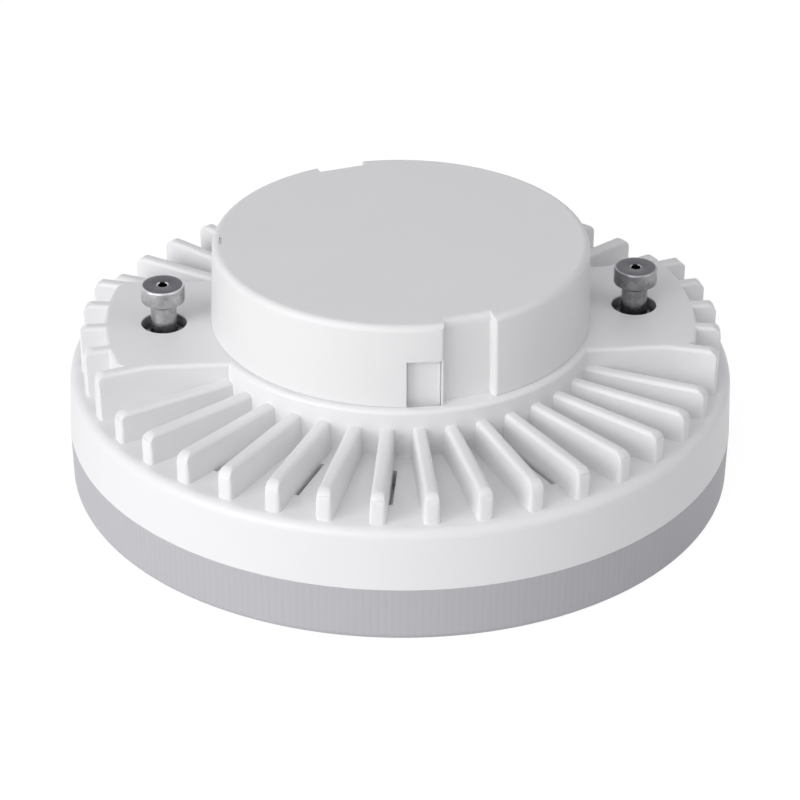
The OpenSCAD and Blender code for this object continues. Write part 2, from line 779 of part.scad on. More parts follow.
// One LED package under the board, its light-emitting well facing down.
module led(ring_r, count, i) {
    well_h = 0.2;
    wall = 0.35;
    corner_r = 0.6;
    color([0.93, 0.85, 0.4])
        rotate((i + 0.5) * 360 / count)
            translate([ring_r, 0, led_board_z - led_t])
                difference() {
                    linear_extrude(led_t)
                        polygon(round_box(led_w, led_l, corner_r / 2));
                    translate([0, 0, -1])
                        linear_extrude(1 + well_h)
                            polygon(round_box(led_w - 2 * wall, led_l - 2 * wall, corner_r));
                }
}

// A pan-head screw with a cross recess, from under the LED board up into its boss.
module board_screw(i) {
    head_r = screw_head_d / 2;
    recess_w = 0.7;
    edge_r = 0.6;
    color([0.6, 0.6, 0.6])
        rotate(screws_at + i * 360 / screws)
            translate([screws_ring_r, 0, led_board_z])
                difference() {
                    rotate_extrude($fn = 48)
                        polygon(concat(
                            [[0, -screw_head_h]],
                            arc([head_r - edge_r, edge_r - screw_head_h], edge_r, -90, 0),
                            [[head_r, 0], [screw_d / 2, 0],
                             [screw_d / 2, screw_l - screw_d / 4], [screw_d / 4, screw_l],
                             [0, screw_l]]));
                    for (turn = [0, 90])
                        rotate(turn)
                            translate([-head_r / 2, -recess_w / 2, -screw_head_h - 1])
                                cube([head_r, recess_w, 1 + screw_head_h / 2]);
                }
}

// The sheet between driver and heat spreader, cut out round the screw bosses.
module insulating_sheet() {
    color([0.25, 0.35, 0.3])
        translate([0, 0, under_z])
            difference() {
                cylinder(h = sheet_t, r = neck_inner_r - loose_gap);
                lead_hole(sheet_t);
                for (i = [0 : screws - 1])
                    rotate(screws_at + i * 360 / screws)
                        translate([screws_ring_r, 0, -1]) {
                            cylinder(h = sheet_t + 2, d = screw_boss_d + 2 * loose_gap);
                            translate([0, -screw_boss_d / 2 - loose_gap, 0])
                                cube([neck_r - screws_ring_r, screw_boss_d + 2 * loose_gap,
                                      sheet_t + 2]);
                        }
            }
}

module driver_board() {
    legs = concat(input_cap_legs, output_cap_legs, film_cap_legs, fuse_legs, bobbin_legs);
    cores = concat(pin_joints, led_joints);
    color([0.2, 0.45, 0.25])
        translate([0, 0, driver_z])
            difference() {
                cylinder(h = driver_board_t, r = driver_board_r);
                for (at = legs)
                    translate([at.x, at.y, -1])
                        cylinder(h = driver_board_t + 2, d = leg_d + 2 * hole_gap, $fn = 24);
                for (at = cores)
                    translate([at.x, at.y, -1])
                        cylinder(h = driver_board_t + 2, d = lead_core_d + 2 * hole_gap, $fn = 24);
            }
}

// A component lead standing in the driver board and trimmed below it.
module leg(at, top_z) {
    translate([at.x, at.y, driver_z - leg_below])
        cylinder(h = top_z - driver_z + leg_below, d = leg_d, $fn = 24);
}

// The can of an electrolytic capacitor along +Z, with its crimped groove.
module capacitor_can(d, h) {
    r = d / 2;
    lip = 0.15;
    bung = 0.3;
    groove_z = 1;
    groove = 0.35;
    edge_r = 0.4;
    rotate_extrude($fn = 64)
        polygon(concat(
            [[0, bung], [r * 0.7, bung], [r * 0.7, 0], [r - lip, 0], [r, lip],
             [r, groove_z], [r - groove, groove_z + groove],
             [r - groove, groove_z + 2 * groove], [r, groove_z + 3 * groove]],
            arc([r - edge_r, h - edge_r], edge_r, 0, 90),
            [[r * 0.8, h], [r * 0.75, h - lip], [0, h - lip]]));
}

module input_capacitor() {
    mid_z = driver_top_z + input_cap_d / 2 + hole_gap;
    base_x = input_cap_at.x + input_cap_l / 2;
    color([0.25, 0.27, 0.3]) {
        translate([base_x, input_cap_at.y, mid_z])
            rotate([0, -90, 0])
                capacitor_can(input_cap_d, input_cap_l);
        for (at = input_cap_legs) {
            translate([base_x - leg_inside, at.y, mid_z])
                rotate([0, 90, 0])
                    cylinder(h = at.x - base_x + leg_inside, d = leg_d, $fn = 24);
            translate([at.x, at.y, mid_z]) sphere(d = leg_d, $fn = 24);
            leg(at, mid_z);
        }
    }
}

module output_capacitor() {
    color([0.25, 0.27, 0.3]) {
        translate([output_cap_at.x, output_cap_at.y, driver_top_z])
            capacitor_can(output_cap_d, output_cap_h);
        for (at = output_cap_legs) leg(at, driver_top_z + leg_inside);
    }
}

// Two ferrite E halves, mated: a frame with a leg through the bobbin.
module transformer_core() {
    window_w = (core_w - core_leg_w) / 2 - core_side_w;
    color([0.2, 0.2, 0.21])
        translate([transformer_at.x, transformer_at.y, driver_top_z + (bobbin_h - core_t) / 2])
            linear_extrude(core_t)
                difference() {
                    polygon(round_box(core_w, core_l, 0.4));
                    for (side = [-1, 1])
                        translate([side * (core_leg_w + window_w) / 2, 0])
                            square([window_w, core_l - 2 * core_side_w], center = true);
                }
}

// The bobbin: a tube on the core's middle leg between two flanges that stand on the board.
module transformer_bobbin() {
    tube_w = core_leg_w + 2 * (hole_gap + bobbin_t);
    tube_h = core_t + 2 * (hole_gap + bobbin_t);
    flange_w = core_w - 2 * (core_side_w + hole_gap);
    mid_z = driver_top_z + bobbin_h / 2;
    color([0.15, 0.15, 0.15]) {
        difference() {
            union() {
                translate([transformer_at.x, transformer_at.y, mid_z])
                    cube([tube_w, 2 * flange_y, tube_h], center = true);
                for (side = [-1, 1])
                    translate([transformer_at.x,
                               transformer_at.y + side * (flange_y + bobbin_t / 2), mid_z])
                        cube([flange_w, bobbin_t, bobbin_h], center = true);
            }
            translate([transformer_at.x, transformer_at.y, mid_z])
                cube([core_leg_w + 2 * hole_gap, core_l, core_t + 2 * hole_gap], center = true);
        }
        for (at = bobbin_legs) leg(at, driver_top_z + leg_inside);
    }
}

module transformer_winding() {
    tube_w = core_leg_w + 2 * (hole_gap + bobbin_t);
    tube_h = core_t + 2 * (hole_gap + bobbin_t);
    winding_w = core_w - 2 * (core_side_w + 2 * hole_gap);
    winding_h = bobbin_h - 0.8;
    mid_z = driver_top_z + bobbin_h / 2;
    color([0.85, 0.7, 0.15])
        translate([transformer_at.x, transformer_at.y + flange_y - hole_gap, mid_z])
            rotate([90, 0, 0])
                linear_extrude(2 * (flange_y - hole_gap))
                    difference() {
                        polygon(round_box(winding_w, winding_h, 1.4));
                        square([tube_w + 2 * hole_gap, tube_h + 2 * hole_gap], center = true);
                    }
}

module film_capacitor() {
    color([0.8, 0.65, 0.2]) {
        translate([film_cap_at.x, film_cap_at.y, driver_top_z])
            linear_extrude(film_cap.z) polygon(round_box(film_cap.x, film_cap.y, 0.6));
        for (at = film_cap_legs) leg(at, driver_top_z + leg_inside);
    }
}

// A fusible resistor lying along Y, its two leads bent down into the board.
module fuse_resistor() {
    mid_z = driver_top_z + fuse_d / 2 + hole_gap;
    r = fuse_d / 2;
    edge_r = 0.5;
    cap_l = 1.3;
    waist = 0.2;
    color([0.35, 0.5, 0.35]) {
        translate([fuse_at.x, fuse_at.y + fuse_l / 2, mid_z])
            rotate([90, 0, 0])
                rotate_extrude($fn = 48)
                    polygon(concat(
                        [[0, 0]],
                        arc([r - edge_r, edge_r], edge_r, -90, 0),
                        [[r, cap_l], [r - waist, cap_l + 2 * waist],
                         [r - waist, fuse_l - cap_l - 2 * waist], [r, fuse_l - cap_l]],
                        arc([r - edge_r, fuse_l - edge_r], edge_r, 0, 90),
                        [[0, fuse_l]]));
        translate([fuse_at.x, fuse_legs[0].y, mid_z])
            rotate([-90, 0, 0])
                cylinder(h = fuse_legs[1].y - fuse_legs[0].y, d = leg_d, $fn = 24);
        for (at = fuse_legs) {
            translate([at.x, at.y, mid_z]) sphere(d = leg_d, $fn = 24);
            leg(at, mid_z);
        }
    }
}

// A moulded body on formed feet, count of them on each of two sides.
module surface_part(size, count, foot_w) {
    foot_h = 0.2;
    foot_l = 1.2;
    sunk = 0.3;
    translate([0, 0, driver_top_z + hole_gap])
        linear_extrude(size.z) polygon(round_box(size.x, size.y, sunk / 2));
    for (turn = [0, 180], i = [0 : count - 1])
        rotate(turn)
            translate([(i - (count - 1) / 2) * size.x / count - foot_w / 2,
                       size.y / 2 - sunk, driver_top_z]) {
                cube([foot_w, foot_l, foot_h]);
                cube([foot_w, sunk, foot_h + hole_gap + sunk]);
            }
}

module rectifier() {
    color([0.15, 0.15, 0.15])
        translate([rectifier_at.x, rectifier_at.y, 0])
            surface_part(rectifier, 2, 0.8);
}

module driver_chip() {
    color([0.15, 0.15, 0.15])
        translate([chip_at.x, chip_at.y, 0])
            surface_part(chip, 4, 0.4);
}

// A quarter bend of a lead in the X-Z plane, from down to sideways.
module lead_bend(d) {
    rotate([90, 0, 0])
        rotate_extrude(angle = 90, $fn = 48)
            translate([lead_bend_r, 0])
                circle(d = d, $fn = 24);
}

// From a pin's bore down, inwards through the neck, and up into the driver board.
module pin_lead(side) {
    run_z = lead_run_z;
    color([0.8, 0.1, 0.1])
        mirror([side < 0 ? 1 : 0, 0, 0]) {
            translate([pin_x, 0, run_z + lead_bend_r])
                cylinder(h = head_z - 0.7 - run_z - lead_bend_r, d = lead_core_d, $fn = 24);
            translate([pin_x - lead_bend_r, 0, run_z + lead_bend_r])
                mirror([0, 0, 1]) lead_bend(lead_d);
            translate([pin_joint_r + lead_bend_r, 0, run_z])
                rotate([0, 90, 0])
                    cylinder(h = pin_x - pin_joint_r - 2 * lead_bend_r, d = lead_d, $fn = 24);
            translate([pin_joint_r + lead_bend_r, 0, run_z + lead_bend_r])
                mirror([1, 0, 0]) mirror([0, 0, 1]) lead_bend(lead_d);
            translate([pin_joint_r, 0, run_z + lead_bend_r])
                cylinder(h = driver_z - hole_gap - run_z - lead_bend_r, d = lead_d, $fn = 24);
            translate([pin_joint_r, 0, driver_z - leg_below])
                cylinder(h = driver_board_t + joint_rise + leg_below, d = lead_core_d, $fn = 24);
            translate([pin_joint_r, 0, driver_top_z])
                cylinder(h = solder_h, d1 = solder_d, d2 = lead_core_d, $fn = 24);
        }
}

// From the driver board down through the lead hole, and outwards under the LED board.
module led_lead(side) {
    run_z = led_board_z - lead_d / 2 - hole_gap / 2;
    bend_x = led_lead_at.x + lead_bend_r;
    end_x = bend_x + led_lead_sheath + led_lead_bare;
    color(side > 0 ? [0.8, 0.1, 0.1] : [0.1, 0.1, 0.1])
        translate([0, led_lead_at.y, 0])
            mirror([side < 0 ? 1 : 0, 0, 0]) {
                translate([led_lead_at.x, 0, driver_top_z])
                    cylinder(h = solder_h, d1 = solder_d, d2 = lead_core_d, $fn = 24);
                translate([led_lead_at.x, 0, driver_z - leg_below])
                    cylinder(h = driver_board_t + joint_rise + leg_below, d = lead_core_d,
                             $fn = 24);
                translate([led_lead_at.x, 0, run_z + lead_bend_r])
                    cylinder(h = driver_z - hole_gap - run_z - lead_bend_r, d = lead_d, $fn = 24);
                translate([bend_x, 0, run_z + lead_bend_r])
                    mirror([1, 0, 0]) mirror([0, 0, 1]) lead_bend(lead_d);
                translate([bend_x, 0, run_z])
                    rotate([0, 90, 0])
                        cylinder(h = led_lead_sheath, d = lead_d, $fn = 24);
                translate([bend_x, 0, run_z])
                    rotate([0, 90, 0])
                        cylinder(h = end_x - bend_x, d = lead_core_d, $fn = 24);
                translate([end_x, 0, run_z - lead_core_d / 2])
                    cylinder(h = led_board_z - run_z + lead_core_d / 2,
                             d1 = lead_core_d, d2 = solder_d, $fn = 24);
            }
}

diffuser();
housing();
snap_ring();
boss_cap();
contact_pin(-1);  // contact_pin_left
contact_pin(1);  // contact_pin_right
pin_washer(-1);  // pin_washer_left
pin_washer(1);  // pin_washer_right
heat_spreader();
led_board();
for (i = [1 : outer_leds])
    led(outer_leds_r, outer_leds, i - 1);
for (i = [1 : inner_leds])
    led(inner_leds_r, inner_leds, i - 1);
for (i = [1 : screws])
    board_screw(i - 1);
insulating_sheet();
driver_board();
input_capacitor();
output_capacitor();
transformer_core();
transformer_bobbin();
transformer_winding();
film_capacitor();
fuse_resistor();
rectifier();
driver_chip();
pin_lead(-1);  // pin_lead_left
pin_lead(1);  // pin_lead_right
led_lead(1);  // led_lead_plus
led_lead(-1);  // led_lead_minus
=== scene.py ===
"""Looks of a flat round LED lamp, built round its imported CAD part.

The frame is the part's: +Z up, the origin in the middle of the diffuser's flat face, and X
through the axes of both contact pins. The pieces' sizes are named in millimetres, and MM
turns them into the scene's metres.
"""

import logging
import math
from collections.abc import Callable, Sequence
from dataclasses import dataclass
from enum import Enum
from functools import cache

import bpy
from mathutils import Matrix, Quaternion, Vector


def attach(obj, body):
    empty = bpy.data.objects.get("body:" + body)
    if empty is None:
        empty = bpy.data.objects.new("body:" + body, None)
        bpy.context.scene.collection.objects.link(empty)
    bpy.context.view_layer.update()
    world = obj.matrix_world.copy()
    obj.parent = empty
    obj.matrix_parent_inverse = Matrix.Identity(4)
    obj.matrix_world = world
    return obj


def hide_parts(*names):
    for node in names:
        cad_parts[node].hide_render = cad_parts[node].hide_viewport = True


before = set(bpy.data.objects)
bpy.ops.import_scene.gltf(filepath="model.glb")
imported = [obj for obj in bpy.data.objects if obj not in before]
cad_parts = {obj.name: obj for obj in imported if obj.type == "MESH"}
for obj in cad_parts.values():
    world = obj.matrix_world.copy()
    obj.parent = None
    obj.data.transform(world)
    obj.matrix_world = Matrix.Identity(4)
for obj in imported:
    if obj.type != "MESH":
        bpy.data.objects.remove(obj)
log = logging.getLogger("lamp")

MM = 0.001
WELD_GAP = 0.002
FLAT_ANGLE = 0.5
LEAST_ROUGHNESS = 0.05

Triple = tuple[float, float, float]
Colour = Triple
Point = tuple[float, float]
Links = dict[str | int, object]


@dataclass(frozen=True)
class Layout:
    """Heights and distances that several pieces share, in millimetres."""

    seam: float = 6.4
    floor: float = 13.3
    platform: float = 18.8
    pin_top: float = 23.6
    top: float = 28.3
    pin_axis: float = 26.5


LAYOUT = Layout()


# Shader graphs


class Maths(Enum):
    """Operations of a Math node that expressions use."""

    ADD = "ADD"
    SUBTRACT = "SUBTRACT"
    MULTIPLY = "MULTIPLY"
    DIVIDE = "DIVIDE"
    POWER = "POWER"
    MINIMUM = "MINIMUM"
    MAXIMUM = "MAXIMUM"
    SINE = "SINE"
    ARCTAN2 = "ARCTAN2"
    ABSOLUTE = "ABSOLUTE"
    FRACTION = "FRACT"
    GREATER = "GREATER_THAN"


class Value:
    """A shader socket that takes part in Python expressions."""

    def __init__(self, graph: "Graph", socket: bpy.types.NodeSocket) -> None:
        """Keeps the socket and the graph that new nodes go to.

        Args:
            graph: the graph of the material or the world.
            socket: an output of one of its nodes.
        """
        self.graph = graph
        self.socket = socket

    def __add__(self, other: "Value | float") -> "Value":
        """This value plus another."""
        return self.graph.maths(Maths.ADD, self, other)

    def __radd__(self, other: float) -> "Value":
        """A number plus this value."""
        return self.graph.maths(Maths.ADD, other, self)

    def __sub__(self, other: "Value | float") -> "Value":
        """This value minus another."""
        return self.graph.maths(Maths.SUBTRACT, self, other)

    def __rsub__(self, other: float) -> "Value":
        """A number minus this value."""
        return self.graph.maths(Maths.SUBTRACT, other, self)

    def __mul__(self, other: "Value | float") -> "Value":
        """This value times another."""
        return self.graph.maths(Maths.MULTIPLY, self, other)

    def __rmul__(self, other: float) -> "Value":
        """A number times this value."""
        return self.graph.maths(Maths.MULTIPLY, other, self)

    def __truediv__(self, other: "Value | float") -> "Value":
        """This value divided by another."""
        return self.graph.maths(Maths.DIVIDE, self, other)

    def __rtruediv__(self, other: float) -> "Value":
        """A number divided by this value."""
        return self.graph.maths(Maths.DIVIDE, other, self)

    def __pow__(self, other: "Value | float") -> "Value":
        """This value to a power."""
        return self.graph.maths(Maths.POWER, self, other)

    def __rpow__(self, other: float) -> "Value":
        """A number to the power of this value."""
        return self.graph.maths(Maths.POWER, other, self)

    def absolute(self) -> "Value":
        """This value without its sign."""
        return self.graph.maths(Maths.ABSOLUTE, self)

    def fraction(self) -> "Value":
        """What this value has after its whole number."""
        return self.graph.maths(Maths.FRACTION, self)

    def angle(self, along: "Value") -> "Value":
        """The angle in radians whose sides are this value and another along it."""
        return self.graph.maths(Maths.ARCTAN2, self, along)

    def wave(self, count: int) -> "Value":
        """A wave from 0 to 1 that comes a number of times in a full turn of this angle."""
        return self.graph.maths(Maths.SINE, self * float(count)) * 0.5 + 0.5

    def clamped(self, low: float = 0.0, high: float = 1.0) -> "Value":
        """This value held between two limits."""
        return self.graph.maths(Maths.MINIMUM, self.graph.maths(Maths.MAXIMUM, self, low), high)

    def above(self, threshold: float) -> "Value":
        """1 where this value is over the threshold, and 0 elsewhere."""
        return self.graph.maths(Maths.GREATER, self, threshold)


class Graph:
    """The node tree of a material or of the world, with one method that adds nodes."""

    def __init__(self, tree: bpy.types.NodeTree) -> None:
        """Empties the tree.

        Args:
            tree: the node tree to fill.
        """
        self.tree = tree
        tree.nodes.clear()

    def node(self, kind: str, settings: dict[str, object] | None = None,
             inputs: Links | None = None, output: str | int = 0) -> Value:
        """Adds a node, sets it up and links it.

        Args:
            kind: the node's type.
            settings: its properties, which are set first.
            inputs: values or links by the socket's name or place.
            output: the socket to hand back.

        Returns:
            The chosen output.
        """
        node = self.tree.nodes.new(kind)
        for name, value in (settings or {}).items():
            setattr(node, name, value)
        for name, value in (inputs or {}).items():
            socket = node.inputs[name]
            if isinstance(value, Value):
                self.tree.links.new(value.socket, socket)
            else:
                socket.default_value = value
        return Value(self, node.outputs[output])

    def maths(self, operation: Maths, *inputs: Value | float) -> Value:
        """The result of a Math node on values and numbers."""
        return self.node("ShaderNodeMath", {"operation": operation.value}, dict(enumerate(inputs)))

    def place(self) -> Value:
        """The point on the piece in its own coordinates."""
        return self.node("ShaderNodeTexCoord", output="Object")

    def parts(self) -> tuple[Value, Value, Value]:
        """The three coordinates of the point on the piece.

        Returns:
            X, Y and Z.
        """
        split = self.node("ShaderNodeSeparateXYZ", inputs={0: self.place()}).socket.node
        x, y, z = (Value(self, output) for output in split.outputs)
        return x, y, z

    def from_pin(self) -> tuple[Value, Value, Value]:
        """Where the point lies from the nearer contact pin's axis.

        Returns:
            The distance along X, the radius, and the height.
        """
        x, y, z = self.parts()
        across = x.absolute() - LAYOUT.pin_axis * MM
        return across, (across * across + y * y) ** 0.5, z

    def noise(self, size: float | Triple, detail: float = 2.0) -> Value:
        """Noise from 0 to 1 whose spots have a real size.

        Args:
            size: a spot's rough size in metres, or its sizes along X, Y and Z.
            detail: finer octaves on top.

        Returns:
            The noise.
        """
        sizes = size if isinstance(size, tuple) else (size, size, size)
        where = self.node("ShaderNodeMapping", inputs={
            "Vector": self.place(), "Scale": [1 / along for along in sizes]})
        return self.node("ShaderNodeTexNoise",
                         inputs={"Vector": where, "Scale": 1.0, "Detail": detail})

    def blend(self, factor: Value | float, low: Colour | Value, high: Colour | Value) -> Value:
        """A colour between two.

        Args:
            factor: 0 for the first colour and 1 for the second.
            low: the first colour.
            high: the second colour.

        Returns:
            The mixed colour.
        """
        def full(colour: Colour | Value) -> object:
            """The colour with its alpha, unless it is a link."""
            return colour if isinstance(colour, Value) else (*colour, 1.0)

        return self.node("ShaderNodeMix", {"data_type": "RGBA"},
                         {0: factor, 6: full(low), 7: full(high)}, output=2)

    def bump(self, height: Value, depth: float, normal: Value | None = None) -> Value:
        """A surface normal from a height of 0 to 1.

        Args:
            height: the height.
            depth: what a height of 1 stands for, in metres.
            normal: a normal to build on.

        Returns:
            The normal.
        """
        inputs: Links = {"Height": height, "Distance": depth, "Strength": 1.0}
        if normal is not None:
            inputs["Normal"] = normal
        return self.node("ShaderNodeBump", inputs=inputs)

    def background_rays(self) -> Value:
        """1 for the rays that show the background: camera, glossy and transmission rays.

        Returns:
            The share of such rays.
        """
        camera, glossy, transmission = (
            self.node("ShaderNodeLightPath", output=name)
            for name in ("Is Camera Ray", "Is Glossy Ray", "Is Transmission Ray"))
        return (camera + glossy + transmission).clamped()

    def finish(self, shader: Value, kind: str = "ShaderNodeOutputMaterial") -> None:
        """Links a shader to the tree's output.

        Args:
            shader: the shader.
            kind: the output node's type.
        """
        out = self.tree.nodes.new(kind)
        self.tree.links.new(shader.socket, out.inputs["Surface"])


def shade(colour: Colour, factor: float) -> Colour:
    """A colour times a factor, held to white."""
    red, green, blue = (min(1.0, part * factor) for part in colour)
    return red, green, blue


def grey(level: float) -> Colour:
    """An even grey."""
    return level, level, level


def varied(colour: Value, roughness: Value, normal: Value) -> Links:
    """What a finish varies over the surface.

    Args:
        colour: the base colour.
        roughness: the roughness, which is kept off a mirror's.
        normal: the surface normal.

    Returns:
        Links by the shader socket's name.
    """
    return {"Base Color": colour, "Roughness": roughness.clamped(LEAST_ROUGHNESS),
            "Normal": normal}


@dataclass(frozen=True)
class Finish:
    """A material: its plain numbers, and what varies over the surface in surface()."""

    name: str
    colour: Colour
    roughness: float = 0.45
    metallic: float = 0.0
    specular: float = 0.5
    coat: float = 0.0
    coat_roughness: float = 0.08
    subsurface: float = 0.0
    scatter: float = 0.8 * MM

    def surface(self, graph: Graph) -> Links:
        """What varies over the surface.

        Args:
            graph: the material's graph.

        Returns:
            Values or links by the shader socket's name.
        """
        return {}

    @cache
    def make(self) -> bpy.types.Material:
        """Builds the material, once for each finish.

        Returns:
            The material.
        """
        material = bpy.data.materials.new(self.name)
        material.use_nodes = True
        material.diffuse_color = (*self.colour, 1.0)
        graph = Graph(material.node_tree)
        inputs: Links = {
            "Base Color": (*self.colour, 1.0), "Roughness": self.roughness,
            "Metallic": self.metallic, "Specular IOR Level": self.specular,
            "Coat Weight": self.coat, "Coat Roughness": self.coat_roughness,
            "Subsurface Weight": self.subsurface, "Subsurface Radius": grey(1.0),
            "Subsurface Scale": self.scatter,
        }
        inputs.update(self.surface(graph))
        graph.finish(graph.node("ShaderNodeBsdfPrincipled", inputs=inputs))
        return material


@dataclass(frozen=True)
class Moulded(Finish):
    """Injection-moulded plastic: faint cloudiness, and the fine grain of the mould's wall."""

    cloud: float = 0.02
    cloud_size: float = 9 * MM
    speck_size: float = 0.5 * MM
    speck_share: float = 0.3
    gloss_size: float = 3 * MM
    gloss_range: float = 0.12
    grain: float = 0.09 * MM
    depth: float = 0.004 * MM
    flow: float = 0.0
    flow_size: float = 2.5 * MM

    def surface(self, graph: Graph) -> Links:
        """Cloudy colour, uneven gloss and a grained wall.

        Args:
            graph: the material's graph.

        Returns:
            Links for colour, roughness and normal.
        """
        clouds = graph.noise(self.cloud_size, detail=3.0) * (1 - self.speck_share)
        specks = graph.noise(self.speck_size) * self.speck_share
        tint = graph.blend((clouds + specks).clamped(), shade(self.colour, 1 - 2 * self.cloud),
                           shade(self.colour, 1 + self.cloud))
        rough = (graph.noise(self.gloss_size) - 0.5) * self.gloss_range + self.roughness
        wall = graph.bump(graph.noise(self.grain), self.depth)
        if self.flow:
            wall = graph.bump(graph.noise(self.flow_size, detail=1.0), self.flow, wall)
        return varied(tint, rough, wall)


@dataclass(frozen=True)
class Recessed(Moulded):
    """Moulded plastic with painted shade inside the two pin recesses."""

    recess_radius: float = 2.6 * MM
    recess_top: float = (LAYOUT.platform - 0.18) * MM
    # Painted shade: a dark mottled grey laid inside the pin recesses
    recess_shade: Colour = (0.18, 0.18, 0.19)
    recess_shade_size: float = 0.7 * MM
    recess_shade_pale: float = 2.2
    recess_shade_deep: float = 0.5

    def surface(self, graph: Graph) -> Links:
        """The moulded surface, with painted shade on the walls and floors of the recesses.

        Args:
            graph: the material's graph.

        Returns:
            Links for colour, roughness and normal.
        """
        links = super().surface(graph)
        _, radius, height = graph.from_pin()
        inside = (1.0 - radius.above(self.recess_radius)) * (1.0 - height.above(self.recess_top))
        # Painted shade inside the recesses, mottled by noise
        recess_shade = graph.blend(graph.noise(self.recess_shade_size, detail=3.0),
                            shade(self.recess_shade, self.recess_shade_deep),
                            shade(self.recess_shade, self.recess_shade_pale))
        links["Base Color"] = graph.blend(inside, links["Base Color"], recess_shade)
        return links


@dataclass(frozen=True)
class Opal(Finish):
    """Opal plastic with faint upright streaks round the skirt."""

    streaks: int = 300
    coarse: float = 0.5
    fine: float = 0.3
    patchy: float = 0.4
    streak_depth: float = 0.008 * MM
    streak_foot: float = 0.9 * MM
    dark: float = 0.955
    light: float = 1.02
    patch_size: float = 7 * MM
    gloss_range: float = 0.1

    def surface(self, graph: Graph) -> Links:
        """Upright streaks in colour and relief, fading out on the flat face.

        Args:
            graph: the material's graph.

        Returns:
            Links for colour, roughness and normal.
        """
        x, y, z = graph.parts()
        turn = y.angle(x)
        patch = graph.noise(self.patch_size)
        waves = turn.wave(self.streaks) * self.coarse + turn.wave(2 * self.streaks) * self.fine
        streak = (waves + patch * self.patchy).clamped() * (z / self.streak_foot).clamped()
        tint = graph.blend(streak, shade(self.colour, self.dark), shade(self.colour, self.light))
        rough = (patch - 0.5) * self.gloss_range + self.roughness
        return varied(tint, rough, graph.bump(streak, self.streak_depth))


@dataclass(frozen=True)
class Turned(Finish):
    """Turned and plated metal: fine rings round the axis, stains and dull spots."""

    ring: float = 0.05 * MM
    ring_length: float = 6 * MM
    ring_depth: float = 0.003 * MM
    ring_gloss: float = 0.12
    stain: float = 0.35
    stain_size: float = 0.9 * MM
    stain_from: float = 0.42
    spot_size: float = 0.35 * MM
    spot_from: float = 0.55
    contrast: float = 3.0
    dulling: float = 0.18

    def surface(self, graph: Graph) -> Links:
        """Rings from the lathe, with stains that are darker and duller.

        Args:
            graph: the material's graph.

        Returns:
            Links for colour, roughness and normal.
        """
        rings = graph.noise((self.ring_length, self.ring_length, self.ring))
        stains = (graph.noise(self.stain_size, detail=4.0) - self.stain_from) * self.contrast
        spots = (graph.noise(self.spot_size, detail=3.0) - self.spot_from).clamped()
        dirt = (stains + spots * self.contrast).clamped()
        tint = graph.blend(dirt, self.colour, shade(self.colour, 1 - self.stain))
        rough = (rings - 0.5) * self.ring_gloss + dirt * self.dulling + self.roughness
        return varied(tint, rough, graph.bump(rings, self.ring_depth))


@dataclass(frozen=True)
class Pin(Turned):
    """A plated pin, with painted light: a painted dark reflection on its polished face, a painted
    highlight on the bevel round it, and painted shade at its foot and in its bore.
    """

    face_height: float = LAYOUT.pin_top * MM
    # Painted reflection: the polished face gets a dark colour for the dark reflection it shows
    face: Colour = (0.105, 0.105, 0.11)
    face_range: float = 0.2
    bevel: float = 0.15 * MM
    bevel_radius: float = 2.2 * MM
    # Painted highlight: a bright grey, varied by noise, on the bevel round the face
    shine: float = 0.6
    shine_low: float = 0.5
    shine_size: float = 1.6 * MM
    # Painted shade in the bore, with painted glints on its two flanks near the top
    sink: float = 0.16 * MM
    sink_radius: float = 0.66 * MM
    sink_flank: float = 0.45
    bore_painted_shade: Colour = (0.02, 0.02, 0.02)
    # Painted shade at the foot, where the pin goes down into its recess
    foot_height: float = LAYOUT.platform * MM
    foot_fade: float = 0.6 * MM
    foot_shade_deep: Colour = (0.06, 0.06, 0.065)
    foot_shade_pale: Colour = (0.42, 0.42, 0.43)
    patch_size: float = 0.8 * MM

    def surface(self, graph: Graph) -> Links:
        """The turned metal, with painted reflection, highlight and shade laid on by where a point
        lies on the pin.

        Args:
            graph: the material's graph.

        Returns:
            Links for colour, roughness and normal.
        """
        links = super().surface(graph)
        across, radius, height = graph.from_pin()
        patch = graph.noise(self.patch_size, detail=3.0)
        # Painted shade: darker towards the pin's foot below the platform
        below = ((self.foot_height - height) / self.foot_fade).clamped()
        foot = graph.blend(patch, self.foot_shade_deep, self.foot_shade_pale)
        tint = graph.blend(below, links["Base Color"], foot)
        # Painted dark reflection on the polished face, varied by noise
        face_painted_reflection = graph.blend(patch, shade(self.face, 1 - self.face_range),
                           shade(self.face, 1 + self.face_range))
        # Painted highlight on the bevel round the face
        glint = graph.blend(graph.noise(self.shine_size, detail=1.0),
                            grey(self.shine * self.shine_low), grey(self.shine))
        painted_face_and_bevel = graph.blend(radius.above(self.bevel_radius), face_painted_reflection, glint)
        tint = graph.blend(height.above(self.face_height - self.bevel), tint, painted_face_and_bevel)
        # Painted shade in the bore, with painted glints on its flanks near the top
        flank = across.absolute().above(self.sink_radius * self.sink_flank)
        lit = height.above(self.face_height - self.sink) * flank
        sink = graph.blend(lit, self.bore_painted_shade, grey(self.shine))
        links["Base Color"] = graph.blend(1.0 - radius.above(self.sink_radius), tint, sink)
        return links


